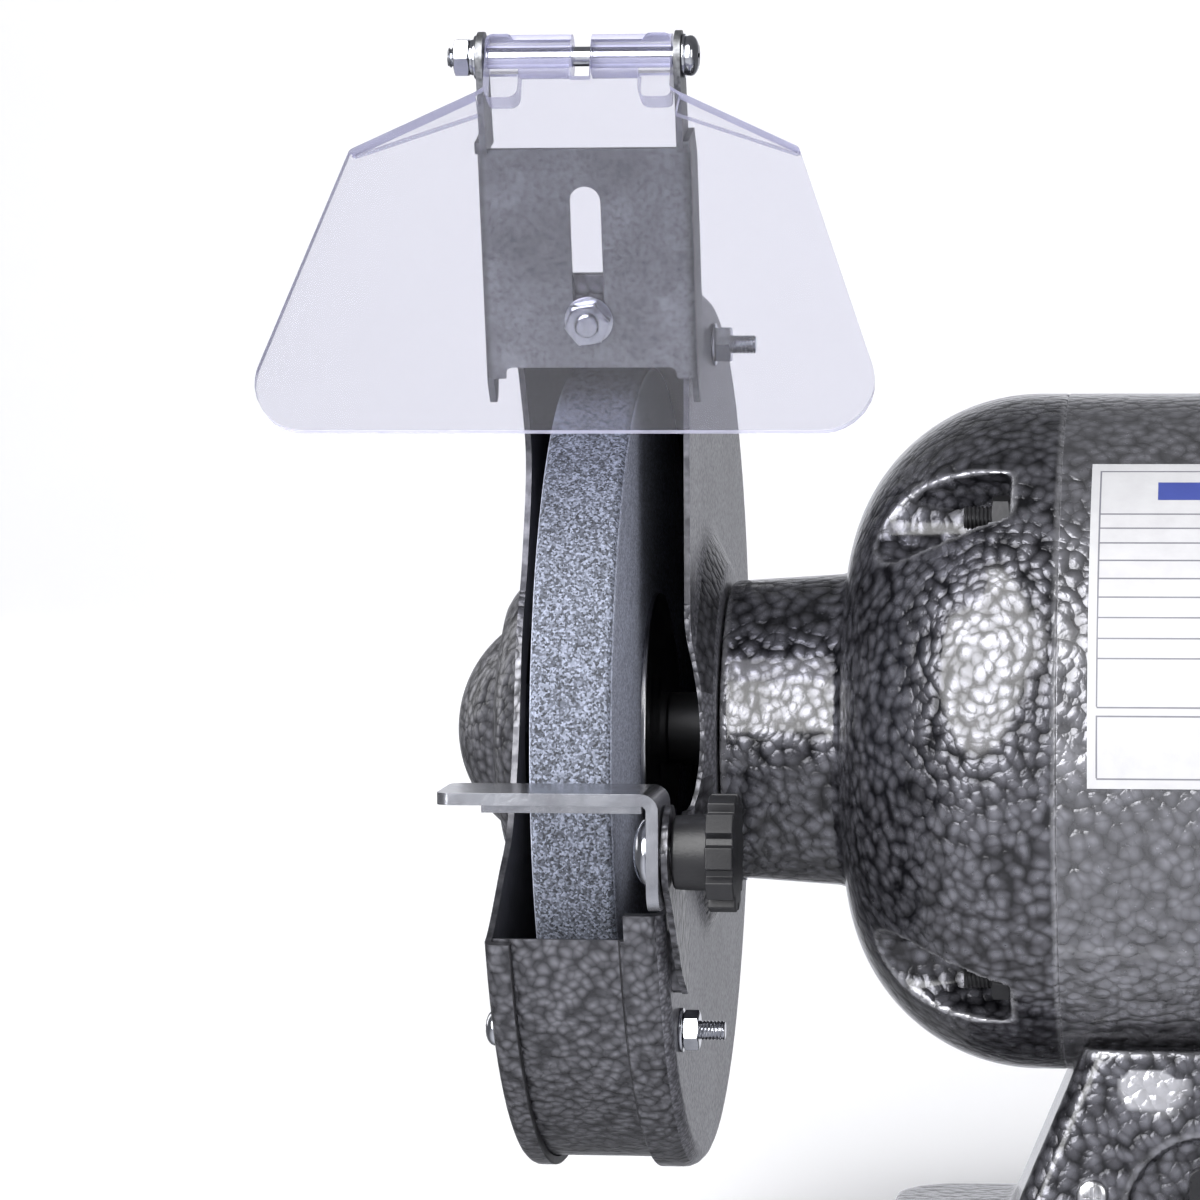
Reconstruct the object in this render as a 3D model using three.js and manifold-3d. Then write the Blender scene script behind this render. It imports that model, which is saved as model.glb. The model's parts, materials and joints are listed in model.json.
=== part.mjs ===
// Double-wheel bench grinder with 150 mm wheels. Millimetres, +Z up.
// X runs along the shaft, -Y is the side where the user stands.
// The origin lies on the bench, under the middle of the whole machine's box.
import * as THREE from 'three';
import { mergeVertices } from 'three/addons/utils/BufferGeometryUtils.js';
import Module from 'manifold-3d';

const wasm = await Module();
wasm.setup();

// ---- driving dimensions; all below are measured from the shaft axis ----
const SHAFT_HEIGHT = 124;
const SHAFT_BACK = 9;
const SIDES = 28;
const SMALL_SIDES = 10;
const FIT = 0.3;
const DEG = Math.PI / 180;

const MOTOR = { radius: 69, wall: 4, seam: 38.5, shoulder: 39, end: 84 };
const NECK = { end: 108.3, rootRadius: 31.8, tipRadius: 30.5 };
const STUD = { y: 42, z: 45.5, radius: 2.4, pocket: 8.75, boss: 11.5, floor: 49, nut: 3.7, tail: 5.5 };
const BEARING = { outer: 17.5, bore: 7.7, from: 95, to: 106 };
const CORE = { radius: 64.6, bore: 30.8, half: 25 };
const WINDING = { inner: 36, outer: 54, from: 25.2, shelf: 33, to: 38, taper: 4 };
const RATING_PLATE = { half: 33, above: 54, below: 4.5, gap: 0.2, thick: 0.3 };
const WIRE_HOLE = { radius: 6, bottom: -76, top: -62 };
const WHEEL = { radius: 75, bore: 6.7, inner: 124.5, outer: 140.7, flange: 28, dish: 3.2 };
const SHAFT = { tip: 157, wheelRadius: 6.35, bearingRadius: 7.5, coreRadius: 9 };

const GUARD = { rim: 90, barrel: 88, sheet: 1.2, face: 113.2, cover: 148.6, coverRim: 5.2 };
const DISH = { x: 108.6, throat: 14, foot: 33, cone: 42 };
const EAR = { radius: 9, foot: [[-66, -34], [-75, -34], [-72, -45], [-68, -46]] };
const DOME = { foot: 32, mouth: 28.7, step: 26, kink: 20.1, apex: 165.3, radius: 25.5 };
const GUARD_BOLT = { ring: 79.5, radius: 2, angles: [96, -43.5, 206] };

const LEAN = 15 * DEG;
const CLAMP = { x: 132.5, y: -42.8, z: 84.7 };
const BRACKET = {
  half: 21.2, sheet: 1.3, depth: 13, bottom: -12.1, tip: -18.6, top: 34.8, notch: 17.2, joggle: 2.4,
};
const BRACKET_SLOT = { radius: 3.1, low: -0.4, high: 24.1 };
const TAB = { half: 10, low: -8.4, high: 8.8, thick: 2 };
const HINGE = { y: 1.6, z: 53, radius: 2, knuckle: 4.5, half: 18.3, arm: 5 };
const SHIELD = { lean: 21 * DEG, length: 79, thick: 2, wide: 59.9, shoulder: 43.9, neck: 18, corner: 10 };

const REST = { outer: 153.9, inner: 111.7, front: -108, back: -87, top: -3.5, sheet: 2.3 };
const LEG = { bottom: -26, corner: 6, slot: 2.9, ahead: 5, behind: 4.5 };
const REST_BOLT = { y: -97, z: -15.5, radius: 2.5, head: 6.4 };
const KNOB = { hub: 7.35, star: 11.25, root: 9.6, from: 109.8, shelf: 103, to: 97, lobes: 10 };

const PEDESTAL = { front: -42, back: 45, top: -60, half: 36.3, at: -63.7, flare: 0.42, wall: 4 };
const FOOT = { half: 77, back: 46, top: -101, bottom: -118, corner: 14, wall: 4 };
const BENCH_HOLE = { x: 66, y: -3, radius: 4.5 };
const PAD = { x: 63, front: -30, back: 34, radius: 9, plate: 1.2 };
const SWITCH = { z: -94.3, half: 13.7, tall: 11, recessHalf: 26, recessTall: 17, corner: 15.4, deep: 2 };
const ROCKER = { half: 9.6, tall: 7.6, pivot: -40, rest: -10 * DEG };
const PANEL_SCREW = { x: 32.9, z: -88.8, head: 3.1, shank: 1.6 };
const GLAND = { x: -25, z: -92, flange: 9, stem: 6, bore: 3.6 };
const CAPACITOR = { from: -24, to: 22, y: 16, radius: 15.5 };

// ---- materials ----
function material(color, roughness, metalness) {
  return new THREE.MeshStandardMaterial({ color, roughness, metalness });
}
const paint = material(0x3c4147, 0.45, 0.3);
const zinc = material(0xc9ccd0, 0.3, 1);
const galvanised = material(0xaab0b4, 0.45, 0.9);
const steel = material(0x9a9da1, 0.3, 1);
const grit = material(0x8d939c, 0.95, 0);
const rubber = material(0x161616, 0.85, 0);
const blackPlastic = material(0x141416, 0.4, 0);
const clearPlastic = material(0xdcdcf0, 0.08, 0);
const copper = material(0xa5562b, 0.4, 0.8);
const lamination = material(0x6d7074, 0.5, 0.8);
const label = material(0xe9eaec, 0.4, 0);
const capCase = material(0xc7c3b4, 0.5, 0.1);

// ---- solids ----
function closedMesh(geometry) {
  const bare = geometry.index ? geometry.toNonIndexed() : geometry.clone();
  bare.deleteAttribute('normal');
  bare.deleteAttribute('uv');
  const merged = mergeVertices(bare, 1e-4);
  const index = Array.from(merged.index.array);
  const kept = [];
  for (let i = 0; i < index.length; i += 3) {
    const [a, b, c] = index.slice(i, i + 3);
    if (a !== b && b !== c && c !== a) kept.push(a, b, c);
  }
  merged.setIndex(kept);
  if (signedVolume(merged) < 0) turnInsideOut(merged);
  return merged;
}

function signedVolume(geometry) {
  const place = geometry.attributes.position;
  const index = geometry.index.array;
  const corner = [new THREE.Vector3(), new THREE.Vector3(), new THREE.Vector3()];
  let total = 0;
  for (let i = 0; i < index.length; i += 3) {
    corner.forEach((point, k) => point.fromBufferAttribute(place, index[i + k]));
    total += corner[0].dot(corner[1].clone().cross(corner[2]));
  }
  return total / 6;
}

function turnInsideOut(geometry) {
  const index = geometry.index.array;
  for (let i = 0; i < index.length; i += 3) {
    [index[i + 1], index[i + 2]] = [index[i + 2], index[i + 1]];
  }
}

function solid(geometry) {
  const mesh = closedMesh(geometry);
  return new wasm.Manifold(new wasm.Mesh({
    numProp: 3,
    vertProperties: new Float32Array(mesh.attributes.position.array),
    triVerts: new Uint32Array(mesh.index.array),
  }));
}

function geometryOf(manifold) {
  const mesh = manifold.getMesh();
  const geometry = new THREE.BufferGeometry();
  geometry.setAttribute('position', new THREE.BufferAttribute(mesh.vertProperties.slice(), 3));
  geometry.setIndex(new THREE.BufferAttribute(mesh.triVerts.slice(), 1));
  return geometry;
}

function mirrored(geometry) {
  const copy = geometry.clone().scale(-1, 1, 1);
  turnInsideOut(copy);
  return copy;
}

function join(...bodies) {
  return bodies.reduce((whole, body) => whole.add(body));
}

function cut(body, ...tools) {
  return tools.reduce((whole, tool) => whole.subtract(tool), body);
}

// A body of revolution about the shaft; profile points are [x, radius].
function turned(profile, sides = SIDES) {
  const points = profile.map(([x, radius]) => new THREE.Vector2(radius, x));
  const last = profile[profile.length - 1];
  const open = profile[0][0] !== last[0] || profile[0][1] !== last[1];
  if (open && (profile[0][1] > 0 || last[1] > 0)) points.push(points[0].clone());
  return solid(new THREE.LatheGeometry(points, sides).rotateZ(-Math.PI / 2));
}

function arc(cx, cy, radius, from, to, steps) {
  const points = [];
  for (let i = 0; i <= steps; i += 1) {
    const angle = (from + (to - from) * i / steps) * DEG;
    points.push([cx + radius * Math.cos(angle), cy + radius * Math.sin(angle)]);
  }
  return points;
}

function outlineShape(outline) {
  return new THREE.Shape(outline.map(([u, v]) => new THREE.Vector2(u, v)));
}

function extruded(outline, depth) {
  return new THREE.ExtrudeGeometry(outlineShape(outline), { depth, bevelEnabled: false });
}

// Prisms: the outline is [y, z], [x, z] or [x, y], swept along the third axis.
function prismX(outline, x0, x1) {
  const toX = new THREE.Matrix4().makeBasis(
    new THREE.Vector3(0, 1, 0), new THREE.Vector3(0, 0, 1), new THREE.Vector3(1, 0, 0));
  return solid(extruded(outline, x1 - x0).applyMatrix4(toX).translate(x0, 0, 0));
}

function prismY(outline, y0, y1) {
  return solid(extruded(outline, y1 - y0).rotateX(Math.PI / 2).translate(0, y1, 0));
}

function prismZ(outline, z0, z1) {
  return solid(extruded(outline, z1 - z0).translate(0, 0, z0));
}

function block(x0, x1, y0, y1, z0, z1) {
  return prismZ([[x0, y0], [x1, y0], [x1, y1], [x0, y1]], z0, z1);
}

function rod(x0, x1, radius, y = 0, z = 0, sides = SMALL_SIDES) {
  return prismX(arc(y, z, radius, 0, 360 * (1 - 1 / sides), sides - 1), x0, x1);
}

function rodY(y0, y1, radius, x, z, sides = SMALL_SIDES) {
  return prismY(arc(x, z, radius, 0, 360 * (1 - 1 / sides), sides - 1), y0, y1);
}

function rodZ(z0, z1, radius, x, y, sides = SMALL_SIDES) {
  return prismZ(arc(x, y, radius, 0, 360 * (1 - 1 / sides), sides - 1), z0, z1);
}

function hexX(x0, x1, flats, y = 0, z = 0) {
  return rod(x0, x1, flats / Math.sqrt(3), y, z, 6);
}

function roundedRectangle(u0, u1, v0, v1, radius, steps = 4) {
  return [
    ...arc(u1 - radius, v1 - radius, radius, 0, 90, steps),
    ...arc(u0 + radius, v1 - radius, radius, 90, 180, steps),
    ...arc(u0 + radius, v0 + radius, radius, 180, 270, steps),
    ...arc(u1 - radius, v0 + radius, radius, 270, 360, steps),
  ];
}

// ---- the assembly ----
const grinder = new THREE.Group();
const machine = new THREE.Group();
machine.position.set(0, SHAFT_BACK, SHAFT_HEIGHT);
grinder.add(machine);

function place(name, geometry, surface, group = machine) {
  const mesh = new THREE.Mesh(geometry, surface);
  mesh.name = name;
  group.add(mesh);
}

function add(name, body, surface, group = machine) {
  place(name, geometryOf(body), surface, group);
}

// Left pieces are modelled at negative X; the right one is the mirror image.
function addPair(name, body, surface, groups = [machine, machine]) {
  const geometry = geometryOf(body);
  place(`left_${name}`, geometry, surface, groups[0]);
  place(`right_${name}`, mirrored(geometry), surface, groups[1]);
}

// ---- motor ----
function studPlaces() {
  return [[-1, 1], [-1, -1], [1, 1], [1, -1]].map(([front, up]) => [front * STUD.y, up * STUD.z]);
}

function tubeX(x0, x1, outer, inner, sides = SIDES) {
  return turned([[x0, inner], [x0, outer], [x1, outer], [x1, inner]], sides);
}

function wireHole() {
  return rodZ(WIRE_HOLE.bottom, WIRE_HOLE.top, WIRE_HOLE.radius, 0, 0);
}

function statorHousing() {
  const shell = tubeX(-MOTOR.seam, MOTOR.seam, MOTOR.radius, MOTOR.radius - MOTOR.wall);
  return cut(shell, wireHole());
}

function endBell() {
  const centre = MOTOR.end - MOTOR.shoulder;
  const arcRadius = MOTOR.radius - MOTOR.shoulder;
  const outside = turned([
    [-MOTOR.seam, 0],
    [-MOTOR.seam, MOTOR.radius],
    ...arc(-centre, arcRadius, MOTOR.shoulder, 90, 177, 4),
    [-MOTOR.end, NECK.rootRadius],
    [-NECK.end, NECK.tipRadius],
    [-NECK.end, 0],
  ]);
  const inner = MOTOR.shoulder - MOTOR.wall;
  let cavity = turned([
    [-MOTOR.seam + 1, 0],
    [-MOTOR.seam + 1, MOTOR.radius - MOTOR.wall],
    ...arc(-centre, arcRadius, inner, 90, 180, 2),
    [-centre - inner, 0],
  ]);
  for (const [y, z] of studPlaces()) cavity = cavity.subtract(rod(-90, -30, STUD.boss, y, z));
  const seat = turned([[-BEARING.to - 3, 0], [-BEARING.to - 3, BEARING.outer + 0.1],
    [-BEARING.from, BEARING.outer + 0.1], [-BEARING.from, 0]], 24);
  const shaftHole = rod(-BEARING.from - 1, -50, 12);
  let bell = cut(outside, cavity, seat, shaftHole);
  for (const [y, z] of studPlaces()) {
    bell = cut(bell, rod(-90, -STUD.floor, STUD.pocket, y, z), rod(-60, -30, STUD.radius + FIT, y, z, 8));
  }
  return bell;
}

function statorCore() {
  let core = tubeX(-CORE.half, CORE.half, CORE.radius, CORE.bore);
  for (const [y, z] of studPlaces()) {
    core = core.subtract(rod(-CORE.half - 1, CORE.half + 1, STUD.radius + FIT, y, z, 8));
  }
  return core;
}

function winding() {
  const { inner, outer, from, shelf, to, taper } = WINDING;
  return turned([
    [-from, inner],
    [-from, outer],
    [-shelf, outer],
    [-to, outer - taper],
    [-to, inner + taper],
    [-shelf, inner],
  ], 16);
}

function throughStud(y, z) {
  const tail = STUD.floor + STUD.nut + STUD.tail;
  return join(
    rod(-tail, STUD.floor + 1, STUD.radius, y, z, 8),
    hexX(-STUD.floor - STUD.nut, -STUD.floor, 8, y, z),
    rod(STUD.floor, STUD.floor + 3.4, 4.6, y, z, 8));
}

function bearing() {
  return tubeX(-BEARING.to, -BEARING.from, BEARING.outer, BEARING.bore, 24);
}

function ratingPlate() {
  const { half, above, below, gap, thick } = RATING_PLATE;
  const under = MOTOR.radius + gap;
  const outline = [
    ...arc(0, 0, under + thick, 180 - above, 180 + below, 14),
    ...arc(0, 0, under, 180 + below, 180 - above, 14),
  ];
  return prismX(outline, -half, half);
}

add('stator_housing', statorHousing(), paint);
addPair('end_bell', endBell(), paint);
add('stator_core', statorCore(), lamination);
addPair('winding', winding(), copper);
addPair('bearing', bearing(), steel);
add('rating_plate', ratingPlate(), label);
studPlaces().forEach(([y, z]) => {
  add(`through_bolt_${y < 0 ? 'front' : 'rear'}_${z < 0 ? 'lower' : 'upper'}`, throughStud(y, z), zinc);
});

// ---- spindle ----
function shaft() {
  const half = [
    [-SHAFT.tip, SHAFT.wheelRadius],
    [-WHEEL.inner + WHEEL.dish, SHAFT.wheelRadius],
    [-WHEEL.inner + WHEEL.dish, SHAFT.bearingRadius],
    [-BEARING.from + 1, SHAFT.bearingRadius],
    [-BEARING.from + 1, SHAFT.coreRadius],
  ];
  const otherHalf = half.map(([x, radius]) => [-x, radius]).reverse();
  return turned([[-SHAFT.tip, 0], ...half, ...otherHalf, [SHAFT.tip, 0]], 16);
}

function rotor() {
  return tubeX(-CORE.half, CORE.half, CORE.bore - 0.5, SHAFT.coreRadius + 0.3, 24);
}

function grindingWheel() {
  const edge = 1.5;
  return turned([
    [-WHEEL.outer, WHEEL.bore],
    [-WHEEL.outer, WHEEL.radius - edge],
    [-WHEEL.outer + edge, WHEEL.radius],
    [-WHEEL.inner - edge, WHEEL.radius],
    [-WHEEL.inner, WHEEL.radius - edge],
    [-WHEEL.inner, WHEEL.bore],
  ]);
}

// A dished washer: it bears on the wheel with its rim only.
function wheelFlange(rimX, outward) {
  const back = rimX + outward * WHEEL.dish;
  const relief = rimX + outward * 1;
  const land = WHEEL.flange * 0.72;
  return turned([
    [rimX, WHEEL.flange],
    [rimX, land],
    [relief, WHEEL.bore],
    [back, WHEEL.bore],
    [back, land],
    [rimX + outward * 1.6, WHEEL.flange],
  ], 16);
}

function spindleNut() {
  const from = WHEEL.outer + WHEEL.dish;
  const nut = hexX(-from - 9.5, -from, 19);
  return nut.subtract(rod(-from - 12, -from + 2, WHEEL.bore, 0, 0, 12));
}

add('spindle_shaft', shaft(), steel);
add('rotor', rotor(), lamination);
addPair('grinding_wheel', grindingWheel(), grit);
addPair('inner_wheel_flange', wheelFlange(-WHEEL.inner, 1), steel);
addPair('outer_wheel_flange', wheelFlange(-WHEEL.outer, -1), steel);
addPair('spindle_nut', spindleNut(), zinc);

// ---- wheel guards ----
function guardBoltPlaces() {
  return GUARD_BOLT.angles.map((degrees) => [
    -GUARD_BOLT.ring * Math.cos(degrees * DEG), GUARD_BOLT.ring * Math.sin(degrees * DEG)]);
}

function guardBoltHoles() {
  return join(...guardBoltPlaces().map(([y, z]) => rod(-160, -100, GUARD_BOLT.radius + FIT, y, z, 8)));
}

// Sheet pan against the neck with the barrel strip around the wheel.
function guardShell() {
  const t = GUARD.sheet;
  const face = -GUARD.face;
  return turned([
    [-DISH.x, DISH.throat],
    [-DISH.x, DISH.foot],
    [face, DISH.cone],
    [face, GUARD.rim - 2.6],
    [face - 2.6, GUARD.rim],
    [face - 8.8, GUARD.rim],
    [face - 8.8, GUARD.barrel],
    [-GUARD.cover + t + FIT, GUARD.barrel],
    [-GUARD.cover + t + FIT, GUARD.barrel - t],
    [face - 4.2, GUARD.barrel - t],
    [face - t, GUARD.rim - 6],
    [face - t, DISH.cone + 0.6],
    [-DISH.x - t, DISH.foot + 0.6],
    [-DISH.x - t, DISH.throat],
  ]);
}

function barrelOpening() {
  const outline = [[-60, -34.3], [-120, -34.3], [-120, 110], [-38.6, 110], [-38.6, 60], [-60, 60]];
  return prismX(outline, -GUARD.cover, -GUARD.face - 8);
}

function panOpening() {
  const curve = new THREE.SplineCurve([[-36.8, -5], [-43, -14], [-54, -22], [-68, -27], [-82, -29]]
    .map(([y, z]) => new THREE.Vector2(y, z)));
  const edge = curve.getPoints(6).map((point) => [point.x, point.y]);
  return prismX([[-36.8, 110], ...edge, [-120, -29], [-120, 110]], -GUARD.face - 8, -100);
}

// The strip's upper end turns up into the tab that carries the shield bracket.
function bracketTab() {
  const front = BRACKET.sheet + FIT;
  const tab = block(-TAB.half, TAB.half, front, front + TAB.thick, TAB.low, TAB.high);
  const matrix = new THREE.Matrix4().makeRotationX(LEAN).setPosition(-CLAMP.x, CLAMP.y, CLAMP.z);
  const hole = rodY(0, 6, REST_BOLT.radius + FIT, 0, 0, 12);
  return solid(geometryOf(tab.subtract(hole)).applyMatrix4(matrix));
}

// A joggled ear that stands forward of the pan and carries the tool rest bolt.
function restLug() {
  const x = -REST.inner + FIT;
  const ear = prismX([
    EAR.foot[0],
    ...arc(REST_BOLT.y, REST_BOLT.z, EAR.radius, 60, 250, 8),
    [-80, -41],
    [-70, -46],
  ], x, x + GUARD.sheet);
  const joggle = prismX(EAR.foot, -GUARD.face - GUARD.sheet / 2, x + GUARD.sheet);
  return join(ear, joggle).subtract(rod(-120, -100, REST_BOLT.radius + FIT, REST_BOLT.y, REST_BOLT.z));
}

function guard() {
  const sheet = cut(guardShell(), barrelOpening(), panOpening());
  return cut(join(sheet, bracketTab(), restLug()), guardBoltHoles());
}

function coverProfile(offset) {
  const face = -GUARD.cover + offset;
  const domeCentre = -DOME.apex + DOME.radius;
  const domeRadius = DOME.radius - offset;
  const domeEdge = 180 - Math.asin((DOME.kink - offset * 0.5) / domeRadius) / DEG;
  return [
    [face, DOME.foot - offset],
    [-152.3 + offset, DOME.mouth - offset],
    [-154.1 + offset, DOME.step - offset],
    ...arc(domeCentre, 0, domeRadius, domeEdge, 180, 2).map(([x, r]) => [x, Math.abs(r) < 1e-6 ? 0 : r]),
  ];
}

function coverOpening() {
  const points = [[-90, -37], [-78, -34], [-61, -24], [-49, -16], [-40, 1], [-34.5, 21], [-25.5, 36],
    [-19, 56], [-27, 71], [-35, 81], [-38, 95]];
  const curve = new THREE.SplineCurve(points.map(([y, z]) => new THREE.Vector2(y, z)));
  const edge = curve.getPoints(13).map((point) => [point.x, point.y]);
  return prismX([...edge, [-120, 95], [-120, -37]], -170, -140);
}

function guardCover() {
  const t = GUARD.sheet;
  const rimEnd = -GUARD.cover + GUARD.coverRim;
  const profile = [
    ...coverProfile(0).reverse(),
    [-GUARD.cover, GUARD.rim - 1.5],
    [-GUARD.cover + 1.5, GUARD.rim],
    [rimEnd, GUARD.rim],
    [rimEnd, GUARD.barrel + FIT],
    [-GUARD.cover + t, GUARD.barrel + FIT],
    ...coverProfile(t),
  ];
  return cut(turned(profile), coverOpening(), guardBoltHoles());
}

function guardBolt([y, z]) {
  return join(
    rod(-GUARD.cover - 3.2, -GUARD.cover - FIT, 3.5, y, z, 8),
    rod(-GUARD.cover - 1, -104.4, GUARD_BOLT.radius, y, z, 8),
    hexX(-GUARD.face + FIT, -109.3, 7, y, z));
}

addPair('wheel_guard', guard(), paint);
addPair('guard_cover', guardCover(), paint);
guardBoltPlaces().forEach((spot, i) => addPair(`guard_bolt_${i + 1}`, guardBolt(spot), zinc));

// ---- shield bracket; its own frame has +Z up the sliding direction ----
function leaningPair(x, y, z, turn) {
  return [-1, 1].map((side) => {
    const group = new THREE.Group();
    group.position.set(side * x, y, z);
    group.rotation.x = turn;
    machine.add(group);
    return group;
  });
}

function shieldBracket() {
  const { half, sheet, depth, bottom, tip, top, notch, joggle } = BRACKET;
  const plate = prismY([[-half, bottom], [-notch, bottom], [-notch, bottom + 2.3], [notch, bottom + 2.3],
    [notch, bottom], [half, bottom], [half, top], [-half, top]], 0, sheet);
  const side = [[0, bottom], [depth * 0.35, tip], [depth * 0.6, tip + 0.6], [depth, bottom + 6],
    [depth, top - 4], [depth - 4, top + 2], [0, top + 2]];
  const arm = [[-2.5, top - 1], ...arc(HINGE.y, HINGE.z, HINGE.arm, 180, 0, 6), [8, top - 1]];
  const step = [[-2.5, top - 1], [8, top - 1], [8, top + 2], [-2.5, top + 2]];
  const inside = half - joggle;
  const parts = [plate];
  for (const [a, b] of [[-1, 0], [0, 1]]) {
    const wall = a ? [-half, -half + sheet] : [half - sheet, half];
    const armWall = b ? [inside, inside + sheet] : [-inside - sheet, -inside];
    const stepWall = b ? [inside, half] : [-half, -inside];
    parts.push(prismX(side, ...wall), prismX(arm, ...armWall), prismX(step, ...stepWall));
  }
  const { radius, low, high } = BRACKET_SLOT;
  const slot = prismY([...arc(0, high, radius, 0, 180, 6), ...arc(0, low, radius, 180, 360, 6)], -1, 3);
  return cut(join(...parts), slot, rod(-30, 30, HINGE.radius + FIT, HINGE.y, HINGE.z, 8));
}

function bracketBolt() {
  return join(
    rodY(-5.3, 5, REST_BOLT.radius, 0, 0, 8),
    rodY(-4.2, -FIT, 4.6, 0, 0, 6),
    rodY(BRACKET.sheet + 2.9, BRACKET.sheet + 5.6, 4.7, 0, 0, 8));
}

function hingeBolt() {
  const { y, z, radius } = HINGE;
  const outside = BRACKET.half - BRACKET.joggle + BRACKET.sheet;
  return join(
    rod(-outside - 6, outside + 1, radius, y, z, 8),
    hexX(-outside - 4.6, -outside - FIT, 7, y, z),
    rod(outside + FIT, outside + 2.6, 4, y, z, 8));
}

const bracketFrames = leaningPair(CLAMP.x, CLAMP.y, CLAMP.z, LEAN);
addPair('shield_bracket', shieldBracket(), galvanised, bracketFrames);
addPair('bracket_bolt', bracketBolt(), zinc, bracketFrames);
addPair('hinge_bolt', hingeBolt(), zinc, bracketFrames);

// ---- eye shield; its own frame has the hinge line as X and hangs down -Z ----
function eyeShield() {
  const { length, thick, wide, shoulder, neck, corner } = SHIELD;
  const outline = [
    [neck, -2],
    [neck, -8],
    [20, -9.3],
    [shoulder, -21.1],
    [wide, -length + corner],
    ...arc(wide - corner + 0.4, -length + corner, corner, 0, -90, 4).slice(1),
  ];
  const mirror = outline.map(([x, z]) => [-x, z]).reverse();
  const pane = prismY([...outline, ...mirror], -HINGE.knuckle, -HINGE.knuckle + thick);
  const tube = rod(-HINGE.half, HINGE.half, HINGE.knuckle, 0, 0, 12);
  const bore = rod(-30, 30, HINGE.radius + FIT, 0, 0, 8);
  const gap = block(-1.5, 2.5, -10, 10, -6, 10);
  return cut(join(pane, tube), bore, gap);
}

function hingeLine() {
  const y = CLAMP.y - HINGE.z * Math.sin(LEAN) + HINGE.y * Math.cos(LEAN);
  const z = CLAMP.z + HINGE.z * Math.cos(LEAN) + HINGE.y * Math.sin(LEAN);
  return [y, z];
}

const shieldFrames = leaningPair(CLAMP.x, ...hingeLine(), -SHIELD.lean);
addPair('eye_shield', eyeShield(), clearPlastic, shieldFrames);

// ---- tool rest ----
function toolRest() {
  const { outer, inner, front, back, top, sheet } = REST;
  const plate = block(-outer, -inner, front, back, top - sheet, top);
  const lip = block(-outer + 6, -inner - sheet - 3, back - sheet, back, top - 5.5, top);
  const { bottom, corner } = LEG;
  const leg = prismX([
    [front, top],
    ...arc(front + corner, bottom + corner, corner, 180, 270, 3),
    ...arc(back - corner, bottom + corner, corner, 270, 360, 3),
    [back, top],
  ], -inner - sheet, -inner);
  const { y, z } = REST_BOLT;
  const slot = prismX([
    ...arc(y + LEG.behind, z, LEG.slot, -90, 90, 5),
    ...arc(y - LEG.ahead, z, LEG.slot, 90, 270, 5),
  ], -inner - sheet - 1, -inner + 1);
  return join(plate, lip, leg).subtract(slot);
}

function restClampBolt() {
  const { y, z, radius, head } = REST_BOLT;
  const seat = -REST.inner - REST.sheet - FIT;
  const dome = turned([[seat, 0], [seat, head], [seat - 1, head], [seat - 2.6, 3.8], [seat - 3.3, 0]], 12);
  return join(dome.translate([0, y, z]), rod(seat - 1, -101, radius, y, z, 8));
}

function restKnob() {
  const { hub, star, root, from, shelf, to, lobes } = KNOB;
  const { y, z, radius } = REST_BOLT;
  const outline = [];
  for (let i = 0; i < lobes; i += 1) {
    const middle = i * 360 / lobes;
    outline.push(...[[-15, root], [-10, star], [10, star], [15, root]].map(([shift, r]) => [
      y + r * Math.cos((middle + shift) * DEG), z + r * Math.sin((middle + shift) * DEG)]));
  }
  const bore = rod(-from - 1, -100.6, radius + FIT, y, z, 8);
  return join(rod(-from, -shelf + 1, hub, y, z, 12), prismX(outline, -shelf, -to)).subtract(bore);
}

addPair('tool_rest', toolRest(), zinc);
addPair('rest_clamp_bolt', restClampBolt(), zinc);
addPair('rest_knob', restKnob(), blackPlastic);

// ---- base ----
function pedestalHalf(z) {
  return PEDESTAL.half + PEDESTAL.flare * (PEDESTAL.at - z);
}

function pedestal(inset, top, bottom) {
  const high = pedestalHalf(top) - inset;
  const low = pedestalHalf(bottom) - inset;
  return prismY([[-high, top], [-low, bottom], [low, bottom], [high, top]],
    PEDESTAL.front + inset, PEDESTAL.back - inset);
}

function footSlab(inset, z0, z1) {
  return prismZ(roundedRectangle(-FOOT.half + inset, FOOT.half - inset, PEDESTAL.front + inset,
    FOOT.back - inset, FOOT.corner - inset), z0, z1);
}

function motorCylinder(radius) {
  return rod(-120, 120, radius, 0, 0, SIDES);
}

function benchHoles(radius) {
  return join(...[-1, 1].map((side) => rodZ(-130, -90, radius, side * BENCH_HOLE.x, BENCH_HOLE.y)));
}

function baseCasting() {
  const saddle = MOTOR.radius + 0.1;
  const body = join(pedestal(0, PEDESTAL.top, FOOT.bottom), footSlab(0, FOOT.bottom, FOOT.top));
  const room = pedestal(PEDESTAL.wall, PEDESTAL.top - 4, FOOT.bottom - 1)
    .subtract(motorCylinder(saddle + PEDESTAL.wall));
  const underFoot = footSlab(FOOT.wall, FOOT.bottom - 1, FOOT.top - FOOT.wall).subtract(benchHoles(9));
  const recess = prismY(roundedRectangle(-SWITCH.recessHalf, SWITCH.recessHalf,
    SWITCH.z - SWITCH.recessTall, SWITCH.z + SWITCH.recessTall, SWITCH.corner),
    PEDESTAL.front - 8, PEDESTAL.front + SWITCH.deep);
  const window = block(-SWITCH.half + 1.2, SWITCH.half - 1.2, -60, -30,
    SWITCH.z - SWITCH.tall + 1.2, SWITCH.z + SWITCH.tall - 1.2);
  const screwHoles = [-1, 1].map((side) => (
    rodY(-50, -30, PANEL_SCREW.shank + FIT, side * PANEL_SCREW.x, PANEL_SCREW.z, 10)));
  const glandHole = rodY(30, 60, GLAND.stem + FIT, GLAND.x, GLAND.z);
  return cut(body, motorCylinder(saddle), room, underFoot, recess, window, ...screwHoles,
    benchHoles(BENCH_HOLE.radius), glandHole, wireHole());
}

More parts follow.
